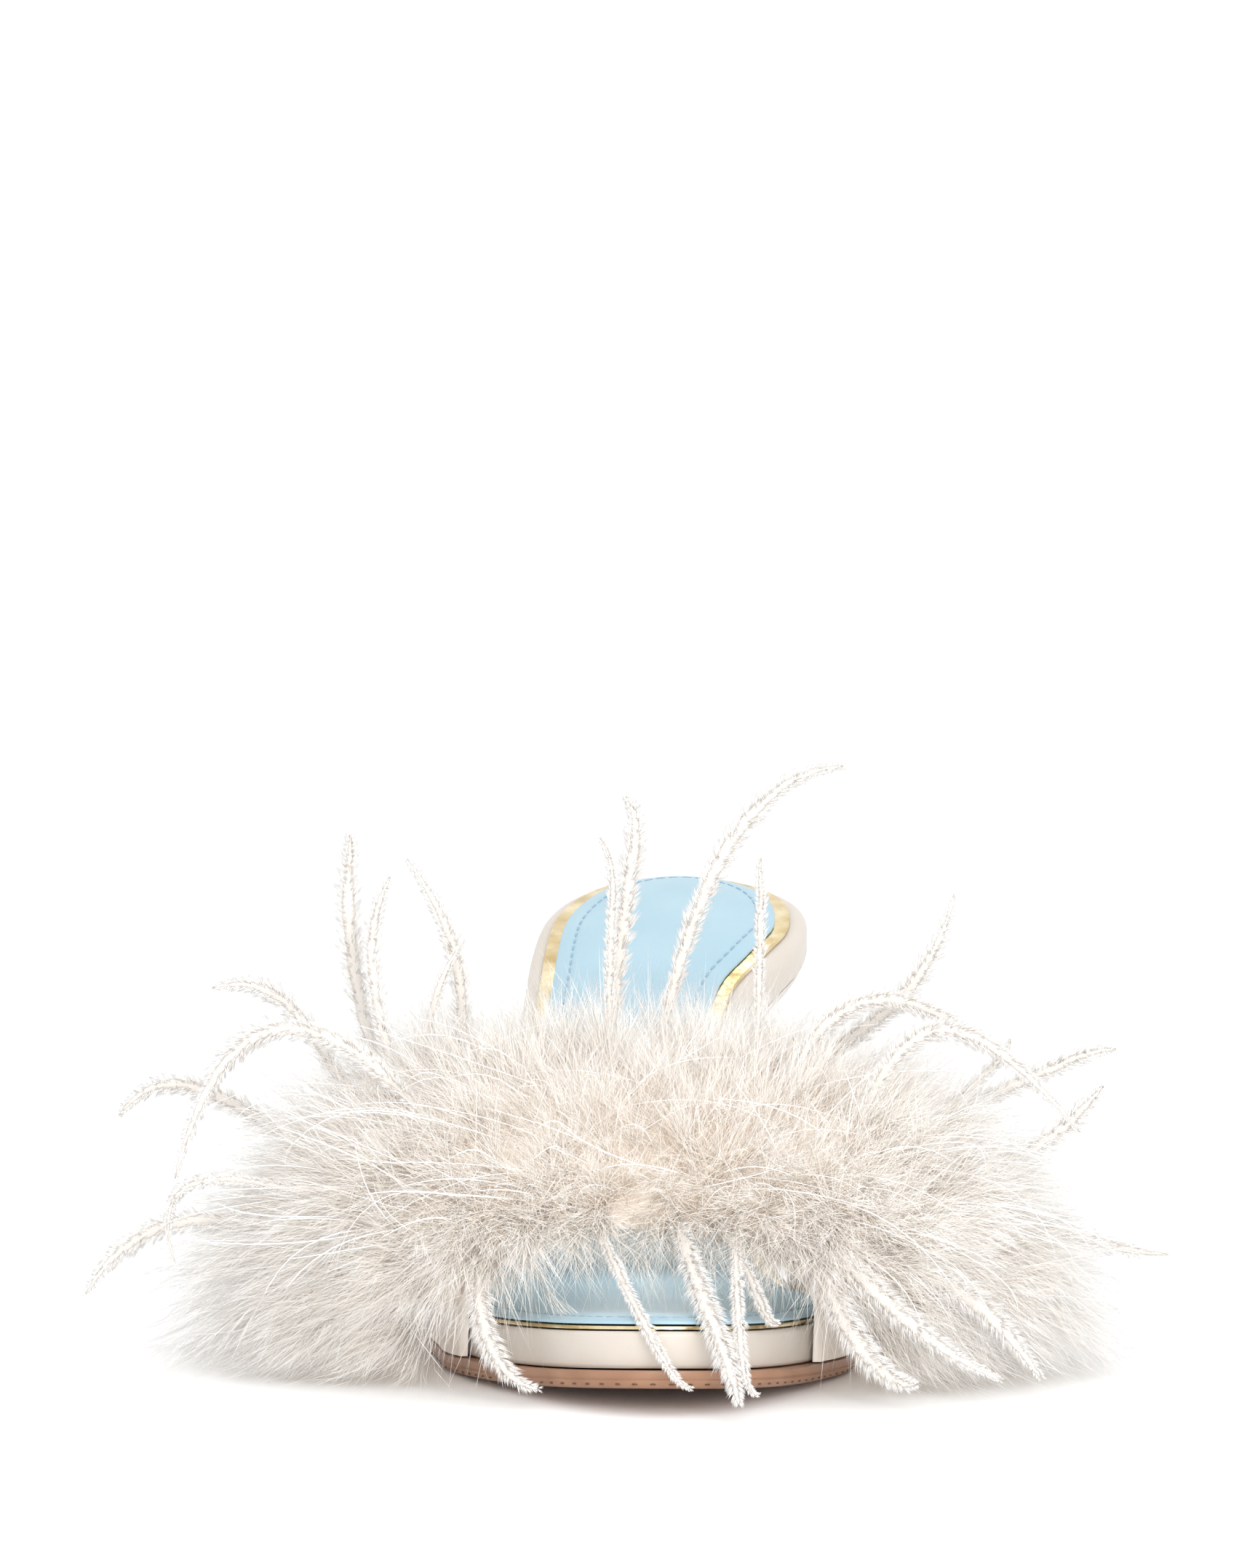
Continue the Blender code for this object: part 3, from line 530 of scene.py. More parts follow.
def heel_tip_rubber():
    """Moulded polyurethane: even, matt, a little grainy."""
    material, tree, shader, place = mottled_material(
        "heel_tip_rubber", 3.0, linear("8e6a54"), linear("9c7760"), {"Roughness": 0.6})
    raised(tree, shader, noise(tree, place, 0.5), 0.05 * MM, 0.5)
    return material


def stitching_thread():
    """Twisted polyester thread, a shade greyer than the sock, with a low shine along its ply."""
    surface = {"Roughness": 0.5, "Sheen Weight": 0.3}
    return mottled_material("stitching_thread", 0.6, linear("7f9fb3"), chosen("thread"), surface)[0]


def sole_thread_painted_shade():
    """Waxed linen of the sole seam, coloured dark brown as painted shade of the stitch dents in the bevel."""
    surface = {"Roughness": 0.55}
    return mottled_material("sole_thread_painted_shade", 0.5, linear("4c3424"), linear("6a4c38"), surface)[0]


def studio_floor():
    """Matt white paper sweep."""
    surface = {"Roughness": 0.9, "Specular IOR Level": 0.1}
    return mottled_material("studio_floor", 400.0, linear("f6f6f6"), linear("fafafa"), surface)[0]


def feather(name, core, near, far, tip):
    """Barbs of keratin: cream near the middle of the trim, whiter outwards and at every tip."""
    material, tree, shader, place = new_material(name, {
        "Roughness": 0.8, "Specular IOR Level": 0.2, "Sheen Weight": 0.1, "Sheen Roughness": 0.4})
    distance = add_node(tree, "ShaderNodeVectorMath", {0: place, 1: tuple(look("down").warm_centre)},
                        operation="DISTANCE").outputs["Value"]
    zone = blended(tree, ramp(tree, distance, *WARM_RANGE), near, far)
    tone = add_node(tree, "ShaderNodeAttribute", attribute_name="tone").outputs["Fac"]
    rooted = blended(tree, tone, core, zone)
    whole = blended(tree, ramp(tree, tone, 0.8, 1.0), rooted, tip)
    tree.links.new(whole, shader.inputs["Base Color"])
    return material


def marabou_down():
    near, far = chosen("down_near"), chosen("down_far")
    return feather("marabou_down", linear("fff6ec"), near, far, linear("ffffff"))


def ostrich_feather():
    near, far = linear("f5f0ea"), chosen("ostrich")
    # The darker first colour falls on each strand's vane: painted shade, which keeps its smooth middle from
    # looking lighter than the barbs of the same keratin.
    return feather("ostrich_feather", linear("d9d4ce"), near, far, linear("fbf9f7"))


def stitch_row(name, line, pitch, length, thickness, material, closed=True):
    """Stitches of one thread laid end to end along a line of points."""
    if closed:
        line = line + line[:1]
    steps = [(b - a).length for a, b in zip(line, line[1:])]
    count = int(sum(steps) / pitch)
    bm = bmesh.new()
    walked, n = 0.0, 0
    for number in range(count):
        target = sum(steps) * (number + 0.5) / count
        while n < len(steps) - 1 and walked + steps[n] < target:
            walked += steps[n]
            n += 1
        centre = line[n].lerp(line[n + 1], (target - walked) / steps[n])
        ahead = (line[n + 1] - line[n]).normalized()
        made = bmesh.ops.create_uvsphere(bm, u_segments=6, v_segments=4, radius=0.5)["verts"]
        bmesh.ops.scale(bm, vec=(thickness, thickness, length), verts=made)
        bmesh.ops.transform(bm, matrix=ahead.to_track_quat("Z", "Y").to_matrix().to_4x4(), verts=made)
        bmesh.ops.translate(bm, vec=centre, verts=made)
    return mesh_piece(name, bm, material, 80)


def unit(vectors):
    return vectors / np.maximum(np.linalg.norm(vectors, axis=-1, keepdims=True), 1e-9)


def sides_of(ahead):
    """Two directions square to ahead and to each other, turning right-handed about it."""
    helper = np.where(np.abs(ahead[..., 2:3]) < 0.8, np.array([0.0, 0.0, 1.0]), np.array([1.0, 0.0, 0.0]))
    side = unit(np.cross(ahead, helper))
    return side, np.cross(ahead, side)


def arc_points(base, bend, tip, t):
    return (1 - t) ** 2 * base + 2 * t * (1 - t) * bend + t**2 * tip


def strand_faces(sides, rings):
    """Triangles of a closed strand: its base point, its rings in order and its tip point."""
    tip = 1 + sides * rings
    faces = []
    for k in range(sides):
        m = (k + 1) % sides
        faces.append((0, 1 + m, 1 + k))
        for row in range(rings - 1):
            low = 1 + sides * row
            faces += [(low + k, low + m, low + sides + m), (low + k, low + sides + m, low + sides + k)]
        faces.append((tip - sides + k, tip - sides + m, tip))
    return np.array(faces)


def filaments(base, bend, tip, thickness, steps, tone_base, tone_tip):
    """Closed, three-sided filaments along arcs, thickest near their base: vertices, triangles and tones."""
    t = np.linspace(0, 1, steps + 1)[None, 1:-1, None]
    arc = arc_points(base[:, None], bend[:, None], tip[:, None], t)
    side, up = sides_of(unit(tip - base))
    turn = 2 * np.pi * np.arange(3).reshape(1, 3, 1) / 3
    spokes = side[:, None] * np.cos(turn) + up[:, None] * np.sin(turn)
    taper = 0.5 * thickness[:, None, None, None] * (1.15 - 0.8 * t[..., None])
    rings = arc[:, :, None] + spokes[:, None] * taper
    verts = np.concatenate([base[:, None], rings.reshape(len(base), -1, 3), tip[:, None]], axis=1)
    count = verts.shape[1]
    first = count * np.arange(len(base))[:, None, None]
    triangles = (strand_faces(3, steps - 1)[None] + first).reshape(-1, 3)
    share = np.concatenate([[0.0], np.repeat(t.ravel(), 3), [1.0]])[None]
    tone = tone_base[:, None] * (1 - share) + tone_tip[:, None] * share
    return verts.reshape(-1, 3), triangles, tone.ravel()


def tube(course, width, flatness, tone, sides):
    """One closed tube along a course, its flat side to the front, with a width for each point."""
    ahead = unit(np.gradient(course, axis=0))
    side = unit(np.cross(ahead, [0.0, 1.0, 0.0]))
    up = np.cross(ahead, side)
    turn = 2 * np.pi * np.arange(sides).reshape(1, sides, 1) / sides
    spokes = side[1:-1, None] * np.cos(turn) + up[1:-1, None] * np.sin(turn) * flatness
    rings = course[1:-1, None] + spokes * 0.5 * width[1:-1, None, None]
    verts = np.concatenate([course[:1], rings.reshape(-1, 3), course[-1:]])
    return verts, strand_faces(sides, len(course) - 2), np.full(len(verts), tone)


def filament_piece(name, groups, material):
    """Joins groups of filaments into one object that carries their tone, none of it under the floor."""
    verts, triangles, tones, total = [], [], [], 0
    for group_verts, group_triangles, group_tone in groups:
        verts.append(group_verts)
        triangles.append(group_triangles + total)
        tones.append(group_tone)
        total += len(group_verts)
    verts, triangles, tones = np.concatenate(verts), np.concatenate(triangles), np.concatenate(tones)
    floor = 0.8 * MM
    low = verts[:, 2] < floor
    verts[low, 2] = floor + 0.1 * MM * np.tanh((floor - verts[low, 2]) / (20 * MM))
    mesh = bpy.data.meshes.new(name)
    mesh.vertices.add(len(verts))
    mesh.vertices.foreach_set("co", verts.astype(np.float32).ravel())
    mesh.loops.add(3 * len(triangles))
    mesh.loops.foreach_set("vertex_index", triangles.astype(np.int32).ravel())
    mesh.polygons.add(len(triangles))
    mesh.polygons.foreach_set("loop_start", np.arange(0, 3 * len(triangles), 3, dtype=np.int32))
    mesh.attributes.new("tone", "FLOAT", "POINT").data.foreach_set("value", tones.astype(np.float32))
    mesh.update(calc_edges=True)
    mesh.shade_smooth()
    mesh.materials.append(material)
    piece = bpy.data.objects.new(name, mesh)
    bpy.context.scene.collection.objects.link(piece)
    return piece


def packed_share(across):
    """How much of the dense down's thickness its packed core fills, least at the seam in the middle."""
    return look("down").core_share * (1 - 0.55 * math.exp(-((across - 0.51) / 0.09) ** 2))


def scattered_seats(rng, count, low, high):
    """Random seats on the packed down between two shares across the foot: root, way out, depth and reach."""
    down = look("down")
    seats = []
    while len(seats) < count:
        across = rng.uniform(low, high)
        turn = rng.uniform(-1, 1) * math.pi * PUFF_WRAP
        surface = puff_point(across, turn)
        root = mix(puff_root(across, turn), surface, packed_share(across) * 0.9)
        corner = ease((abs(across - 0.5) - 0.2) / 0.2) * ease((-turn - 0.4) / 0.7)
        reach = down.reach * table_value(REACH, across) * (1 - 0.7 * corner)
        seats.append((root, growth(across, turn * (1 - 0.6 * corner)), (surface - root).length, reach))
    return [np.array(column) for column in zip(*seats)]


def plumelets(rng, seats, barbs):
    """Small marabou plumes: a hair-fine quill with soft barbs all round it, longest at its middle."""
    down = look("down")
    root, out, depth, reach = seats
    count = len(root)
    length = (depth + reach * rng.uniform(0.25, 1.0, count))[:, None]
    ahead = unit(out + rng.normal(0, down.stray, (count, 3)))
    side_share = np.abs(out[:, :1])
    droop = np.array([0.0, 0.0, -1.0]) * down.droop * (0.4 + side_share) * rng.uniform(0.5, 1.4, (count, 1))
    bend = root + ahead * length * 0.5
    tip = root + (ahead + droop + rng.normal(0, 0.16, (count, 3))) * length
    ones = np.ones(count)
    quills = filaments(root, bend, tip, ones * down.quill_width, 4, 0.2 * ones, 0.9 * ones)
    t = np.linspace(0.08, 1.0, barbs)[None, :, None] + rng.uniform(-0.01, 0.0, (count, barbs, 1))
    foot = arc_points(root[:, None], bend[:, None], tip[:, None], t)
    along = unit(2 * (1 - t) * (bend - root)[:, None] + 2 * t * (tip - bend)[:, None])
    side, up = sides_of(along)
    spin = rng.uniform(0, 2 * np.pi, (count, barbs, 1))
    lean = rng.uniform(0.15, 0.65, (count, barbs, 1)) * (1.1 - 0.45 * t)
    way = along * np.cos(lean) + (side * np.cos(spin) + up * np.sin(spin)) * np.sin(lean)
    swell = 0.55 + 0.55 * np.sin(np.pi * np.clip(t, 0, 1) ** 0.8)
    long = down.barb_length * swell * rng.uniform(0.5, 1.4, t.shape)
    middle = foot + way * 0.5 * long
    curl = rng.normal(0, 0.18, way.shape) + np.array([0, 0, -0.2])
    end = foot + (way + along * 0.3 + curl) * long
    flat = (count * barbs, 3)
    wide = down.barb_width * rng.uniform(0.7, 1.2, count * barbs)
    tone = (0.2 + 0.7 * t).ravel()
    fuzz = filaments(foot.reshape(flat), middle.reshape(flat), end.reshape(flat), wide, 2, tone,
                     np.minimum(tone + 0.25, 1.0))
    return [quills, fuzz]


def guard_hairs(rng, seats, width, shortest, longest, stray):
    """Single filaments that stray over and out of the down."""
    root, out, depth, reach = seats
    count = len(root)
    length = (depth + reach * rng.uniform(shortest, longest, count))[:, None]
    ahead = unit(out + rng.normal(0, stray, (count, 3)))
    bend = root + ahead * length * 0.55
    tip = root + (ahead + rng.normal(0, 0.32, (count, 3)) + np.array([0, 0, -0.22])) * length
    wide = width * rng.uniform(0.6, 1.2, count)
    return filaments(root, bend, tip, wide, 6, 0.4 * np.ones(count), np.ones(count))


def crossing_hairs(rng, count):
    """Long bright filaments that lie over the front of the down and curve away from its middle."""
    start = rng.uniform(0.2, 0.8, count)
    turn = rng.uniform(-1.3, 0.1, count)
    spread = (start - 0.5) * rng.uniform(0.2, 1.2, count) + rng.normal(0, 0.07, count)
    rows = []
    for share, lift in ((0.0, -0.2), (0.5, 1.0), (1.0, 1.25)):
        ends = [(min(max(a + share * d, 0.1), 0.9), t) for a, d, t in zip(start, spread, turn)]
        rows.append(np.array([puff_point(a, t) + growth(a, t) * (
            lift * look("down").reach * table_value(REACH, a) + 2 * MM) for a, t in ends]))
    tip = rows[2] + rng.normal(0, 5 * MM, (count, 3)) + np.array([0, 0, -3 * MM])
    wide = look("down").long_hair_width * rng.uniform(0.5, 1.2, count)
    bend = rows[1] * 1.5 - (rows[0] + tip) * 0.25
    return filaments(rows[0], bend, tip, wide, 9, np.ones(count), np.ones(count))


def mouth_seats(rng, count, low, high, reach):
    """Random seats along the upper's front edge, for feathers that hang over the toe opening."""
    across = rng.uniform(low, high, count)
    root = np.array([last_point(a, upper_station(a, 0.1), UPPER_WALL + rng.uniform(2, 6) * MM)
                     for a in across])
    over = np.sin(np.pi * across)[:, None]
    sideways = np.zeros((count, 3))
    sideways[:, 0] = rng.normal(0, 0.45, count) + 1.2 * (across - 0.5)
    out = unit(np.array([0.0, -0.8, -0.55]) + sideways)
    return root, out, np.zeros((count, 1)), reach * rng.uniform(0.4, 1.0, (count, 1)) * over


def mouth_hairs(rng, count):
    """Fine curled hairs that hang from the upper's front edge over the toe opening."""
    root, out, _, length = mouth_seats(rng, count, 0.14, 0.86, MOUTH_HAIR_LENGTH)
    bend = root + out * length * 0.6
    tip = root + (out + np.array([0.0, 0.2, -0.5]) + rng.normal(0, 0.22, (count, 3))) * length
    wide = look("down").hair_width * rng.uniform(0.5, 1.3, count)
    return filaments(root, bend, tip, wide, 8, 0.7 * np.ones(count), np.ones(count))


def down_core(material):
    """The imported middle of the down, which closes it under the loose barbs, with rounded-off ends."""
    down = look("down")
    first, last = CORE_ENDS
    rings = []
    for across in np.linspace(first, last, 56):
        thick = packed_share(across) * math.sin(math.pi * (across - first) / (last - first)) ** 0.35
        crown = math.sin(math.pi * across) ** 2
        length = upper_station(across, 1.0) - upper_station(across, 0.0)
        bare = mix(3.5 * MM, -2.0 * MM, crown) / length
        ring = []
        for turn in np.linspace(-math.pi * PUFF_WRAP, math.pi * PUFF_WRAP, 24):
            station = upper_station(across, mix(bare, 1 - 0.5 * bare, 0.5 + 0.5 * math.sin(turn)))
            root = last_point(across, station, UPPER_WALL + GAP)
            outwards = puff_point(across, turn) - puff_root(across, turn)
            ring.append(root + outwards * max(thick, 0.03))
        for share in np.linspace(1 - 0.5 * bare, bare, 16):
            ring.append(last_point(across, upper_station(across, share), UPPER_WALL + GAP))
        rings.append(ring)
    return mesh_piece("down_core", closed_loft(rings), material, 80)


def strand_path(row):
    """A strand's course as four Bezier points: out of its cell, through its half-way point, to its tip."""
    (i, k), *passed = row

    def cell(a, b):
        return (i + a + 1) / ARCH_COLUMNS, 2 * math.pi * PUFF_WRAP * ((k + b) / ALONG_CELLS - 0.5)

    corners = [puff_point(*cell(a, b)) for a, b in ((0, 0), (1, 0), (1, 1), (0, 1))]
    direction = growth(*cell(0.5, 0.5))
    root = sum(corners, Vector()) / 4
    via, tip = [Vector((x * PUFF_HALF_WIDTH, y * TOE_LENGTH, z * PUFF_HEIGHT)) for x, y, z in passed]
    arc = (via - root) * 4 / 3 - (tip - root) / 3
    leave = root + mix(arc, direction * arc.length, 0.3)
    arrive = (8 * via - root - 3 * leave - tip) / 3
    return root - direction * 6 * MM, leave, arrive, tip


def strand_parts(row, rng, width):
    """One ostrich strand: a flat vane with short, close barbs in small tufts out to both sides of it."""
    strand = look("strands")
    t = np.linspace(0, 1, STRAND_STEPS + 1)[:, None]
    course = bezier([np.array(point) for point in strand_path(row)], t)
    length = np.linalg.norm(np.diff(course, axis=0), axis=1).sum()
    side = unit(np.cross(unit(np.gradient(course, axis=0)), [0.0, 1.0, 0.0]))
    course = course + side * np.sin(t * rng.uniform(5, 8) + rng.uniform(0, 6)) * 0.7 * MM * t
    phase = rng.uniform(0, 6)

    def swell(share):
        at = share * length / MM
        ragged = 1 + 0.10 * np.sin(at * 2.1 + phase) + 0.08 * np.sin(at * 3.7)
        return np.minimum(0.4 + 2.0 * share, 1.0) * np.clip(2.4 * (1.04 - share), 0.1, 1) ** 0.8 * ragged

    # The vane's low tone gives it the darker first colour, as painted shade on the strand's middle.
    vane = tube(course, strand.vane_share * width * swell(t[:, 0]), flatness=0.35, tone=0.08, sides=8)
    count = int(length / MM * strand.barbs_per_mm)
    share = np.linspace(0.04, 0.995, count)
    at = share * STRAND_STEPS
    low = np.minimum(at.astype(int), STRAND_STEPS - 1)
    foot = course[low] + (course[low + 1] - course[low]) * (at - low)[:, None]
    along = unit(course[low + 1] - course[low])
    side = unit(np.cross(along, [0.0, 1.0, 0.0]))
    up = np.cross(along, side)
    tufts = share * length / strand.tuft_pitch
    left = rng.uniform(size=count) < 0.5
    tuft = tufts.astype(int) * 2 + left
    tufts_in_all = tuft.max() + 1
    pull = (np.floor(tufts) + 0.5 - tufts)[:, None] * strand.tuft_pitch * 0.75 * along
    spin = np.where(left, 0.0, np.pi) + rng.normal(0, strand.spread, count)
    spin += rng.normal(0, 0.2, tufts_in_all)[tuft]
    radial = side * np.cos(spin)[:, None] + up * np.sin(spin)[:, None]
    reach = swell(share[:, None]) * rng.uniform(0.8, 1.15, (tufts_in_all, 1))[tuft]
    reach = 0.5 * width * reach * rng.uniform(0.85, 1.1, (count, 1)) + 0.2 * MM
    lean = rng.uniform(0.6, 0.9, (tufts_in_all, 1))[tuft]
    middle = foot + (along * np.cos(lean + 0.2) + radial * np.sin(lean + 0.2)) * 0.55 * reach / np.sin(lean)
    way = along * np.cos(lean) + radial * np.sin(lean) + rng.normal(0, 0.05, foot.shape)
    end = foot + pull + way * reach / np.sin(lean)
    thick = strand.barb_width * rng.uniform(0.75, 1.2, count)
    return [vane, filaments(foot, middle, end, thick, 2, np.full(count, 0.8), np.full(count, 1.0))]


def colour(name, description, hex_colour):
    return bpy.props.FloatVectorProperty(
        name=name, description=description, subtype="COLOR", size=3, min=0, max=1,
        default=linear(hex_colour)[:3])


def measure(name, description, millimetres):
    return bpy.props.FloatProperty(
        name=name, description=description, unit="LENGTH", default=millimetres * MM)


def angle(name, description, degrees):
    return bpy.props.FloatProperty(
        name=name, description=description, subtype="ANGLE", default=math.radians(degrees))


def amount(name, description, default):
    return bpy.props.FloatProperty(name=name, description=description, default=default)


def number(name, description, default, least=0):
    return bpy.props.IntProperty(name=name, description=description, min=least, default=default)


class MuleColours(bpy.types.PropertyGroup):
    """Colours of the finishes."""

    ivory: colour("Ivory calf", "Insole cover and heel cover", "cbc3ba")
    upper: colour("Ivory kid", "Upper", "efe8df")
    gold: colour("Gold foil", "Border round the sock", "f2e4c0")
    blue: colour("Pale blue leather", "Padded sock", "a5c2cf")
    tan: colour("Tan sole leather", "Outsole", "a17a60")
    thread: colour("Thread", "Stitching round the sock", "93b2c5")
    down_near: colour("Down, middle", "Marabou close to the middle of the mouth", "fff9f1")
    down_far: colour("Down, outside", "Marabou at the trim's outside", "fffefc")
    ostrich: colour("Ostrich", "Long strands", "f5f2ee")


class MuleStitches(bpy.types.PropertyGroup):
    """The stitched line round the sock."""

    inset: measure("Inset", "From the sock's edge to the stitched line", 3.0)
    pitch: measure("Pitch", "From one stitch to the next", 2.6)
    length: measure("Length", "Shown length of one stitch", 1.9)
    thickness: measure("Thickness", "Diameter of the thread", 0.42)


class MuleDown(bpy.types.PropertyGroup):
    """The marabou down."""

    seed: number("Seed", "Changes every random draw", 11)
    zones: number("Zones", "Pieces that the down is split into, side to side", 5, 1)
    plumelets: number("Plumelets", "Small plumes in each zone of the down", 430, 10)
    barbs: number("Barbs", "Barbs on one plumelet", 42, 4)
    fine_hairs: number("Fine hairs", "Single stray hairs in each zone", 500)
    long_hairs: number("Long hairs", "Long bright hairs in each zone", 26)
    mouth_hairs: number("Mouth hairs", "Hairs that hang over the toe opening", 42)
    crossing_hairs: number("Crossing hairs", "Long bright hairs over the front of the down", 150, 1)
    mouth_plumelets: number("Mouth plumelets", "Small plumes along the edge of the toe opening", 10, 1)
    core_share: amount("Core", "Packed middle, as a share of the dense down's thickness", 0.84)
    reach: measure("Reach", "How far plumelets stand out of the dense down", 15)
    barb_length: measure("Barb length", "Longest barbs of a plumelet", 12.5)
    barb_width: measure("Barb width", "Drawn coarser than real down, which would not show", 0.12)
    quill_width: measure("Quill width", "Diameter of a plumelet's quill", 0.22)
    hair_width: measure("Hair width", "Diameter of a stray hair", 0.16)
    long_hair_width: measure("Long hair width", "Diameter of a long hair", 0.34)
    stray: amount("Stray", "How much plumelets lean out of line", 0.24)
    droop: amount("Droop", "How much plumelets hang", 0.36)
    warm_centre: bpy.props.FloatVectorProperty(
        name="Warm centre", description="Where the down is creamiest", subtype="TRANSLATION",
        size=3, default=(-0.003, -0.040, 0.031))


class MuleStrands(bpy.types.PropertyGroup):
    """The long ostrich strands."""

    seed: number("Seed", "Changes every random draw", 5)
    width: measure("Width", "Across a strand's barbs", 4.2)
    fine_width: measure("Fine width", "Across a fine strand's barbs", 2.4)
    vane_share: amount("Vane", "Closely packed middle, as a share of the width", 0.46)
    tuft_pitch: measure("Tuft pitch", "From one tuft of barbs to the next", 0.9)
    barb_width: measure("Barb width", "Diameter of one barb", 0.21)
    barbs_per_mm: amount("Barbs", "Barbs on each millimetre of strand", 25.0)
    spread: amount("Spread", "How far the barbs leave the strand's flat side, in radians", 0.4)


class MuleStage(bpy.types.PropertyGroup):
    """Camera, floor and light."""

    azimuth: angle("Azimuth", "Camera's way round from straight ahead of the toe", 1.7)
    elevation: angle("Elevation", "Camera's height over the ball line", 8.0)
    distance: measure("Distance", "Camera to the ball line", 1500)
    pan: angle("Pan", "Turn of the camera to its left", 1.8443)
    tilt: angle("Tilt", "Turn of the camera down", 4.0759)
    lens: amount("Lens", "Focal length in millimetres", 190.35)
    sky: amount("Sky", "Strength of the white surround", 1.1)
    key: amount("Key", "Watts of the large soft light above", 1.5)
    front: amount("Front", "Watts of the low light in front", 11.5)
    opening: amount("Opening", "Watts of the small light inside the toe opening", 0.0055)


class MULE_OT_outsole(bpy.types.Operator):
    """Tan leather outsole with a bevelled, grooved edge"""

    bl_idname = "mule.outsole"
    bl_label = "Outsole"

    def execute(self, context):
        edge = -(UPPER_CLEAR + UPPER_WALL + WELT_PROUD)
        line = (edge, OUTSOLE_INSET_WAIST)
        rows = [(added(line, inset * MM), both(height * MM)) for inset, height in (
            (1.3, 0.0), (0.75, 0.18), (0.4, 0.5), (0.2, 0.9), (0.0, 1.28), (0.0, 1.42), (0.14, 1.52),
            (0.14, 1.66), (0.02, 1.8), (0.02, 2.75), (0.1, 2.98), (0.35, OUTSOLE_TOP / MM))]
        piece = layer("outsole_leather", rows, tan_sole_leather(), straight_back=True)
        finish_piece(piece, "sole_leather", "outsole")
        ring = layer_ring(added(line, SOLE_STITCH_INSET), both(SOLE_STITCH_HEIGHT), straight_back=True)
        front = [point for point in ring if point.y < 0.4 * INSTEP_LINE]
        front.sort(key=lambda point: math.atan2(point.x, -point.y - 0.02))
        # Threads on the bevel: real stitching, coloured dark as painted shade of the dents they sit in.
        marks = stitch_row("sole_stitches", front, SOLE_STITCH_PITCH, SOLE_STITCH_LENGTH, SOLE_THREAD,
                           sole_thread_painted_shade(), closed=False)
        finish_piece(marks, "sole_leather")
        return {"FINISHED"}


class MULE_OT_insole(bpy.types.Operator):
    """Insole board wrapped in ivory leather, with a soft round edge"""

    bl_idname = "mule.insole"
    bl_label = "Covered insole"

    def execute(self, context):
        def rim(share):
            return RIM_ROUND[0] * share, RIM_ROUND[1] * share

        def drop(share):
            return INSOLE_TOP - RIM_ROUND[0] * share, INSOLE_TOP - RIM_ROUND[1] * share

        rows = [(rim(0.4), both(INSOLE_BOTTOM)), (rim(0.1), added(both(INSOLE_BOTTOM), 0.25 * MM)),
                (rim(0.0), added(both(INSOLE_BOTTOM), 0.7 * MM))]
        for n in range(9):
            turn = 0.5 * math.pi * n / 8
            rows.append((rim(1 - math.cos(turn)), drop(1 - math.sin(turn))))
        piece = layer("insole_cover", rows, ivory_calf_leather())
        finish_piece(piece, "ivory_leather", "covered_insole")
        return {"FINISHED"}


class MULE_OT_border(bpy.types.Operator):
    """Thin gold foil leather that shows round the sock"""

    bl_idname = "mule.border"
    bl_label = "Metallic border"

    def execute(self, context):
        rows = [(TRIM_INSET, both(TRIM_BOTTOM)), (TRIM_INSET, both(TRIM_TOP - 0.2 * MM)),
                (added(TRIM_INSET, 0.08 * MM), both(TRIM_TOP - 0.06 * MM)),
                (added(TRIM_INSET, 0.25 * MM), both(TRIM_TOP))]
        piece = layer("gold_border", rows, gold_foil_leather(), blend=BORDER_BLEND)
        finish_piece(piece, "gold_leather", "metallic_trim")
        return {"FINISHED"}


class MULE_OT_sock(bpy.types.Operator):
    """Padded blue sock with the soft trough that its stitches pull down"""

    bl_idname = "mule.sock"
    bl_label = "Padded sock"

    def execute(self, context):
        trough = look("stitches").inset
        rise = [(0.0, -1.12), (0.08, -0.98), (0.3, -0.86), (0.9, -0.66), (1.6, -0.44),
                (trough / MM - 0.7, -0.28), (trough / MM - 0.35, -0.3), (trough / MM, -0.4),
                (trough / MM + 0.35, -0.24), (trough / MM + 0.8, -0.1), (5.2, 0.08), (7.5, 0.2)]
        rows = [(SOCK_INSET, both(SOCK_BOTTOM))]
        rows += [(added(SOCK_INSET, inset * MM), both(SOCK_TOP + height * MM)) for inset, height in rise]
        piece = layer("sock_cover", rows, pale_blue_sock_leather(), sharp_degrees=60, blend=BORDER_BLEND)
        finish_piece(piece, "blue_leather", "padded_sock")
        return {"FINISHED"}


class MULE_OT_stitches(bpy.types.Operator):
    """Stitches in the sock's trough"""

    bl_idname = "mule.stitches"
    bl_label = "Sock stitches"

    def execute(self, context):
        stitches = look("stitches")
        height = both(SOCK_TOP - SOCK_STITCH_DEPTH)
        line = layer_ring(added(SOCK_INSET, stitches.inset), height, blend=BORDER_BLEND)
        piece = stitch_row("sock_stitches", line, stitches.pitch, stitches.length, stitches.thickness,
                           stitching_thread())
        finish_piece(piece, "blue_leather")
        return {"FINISHED"}


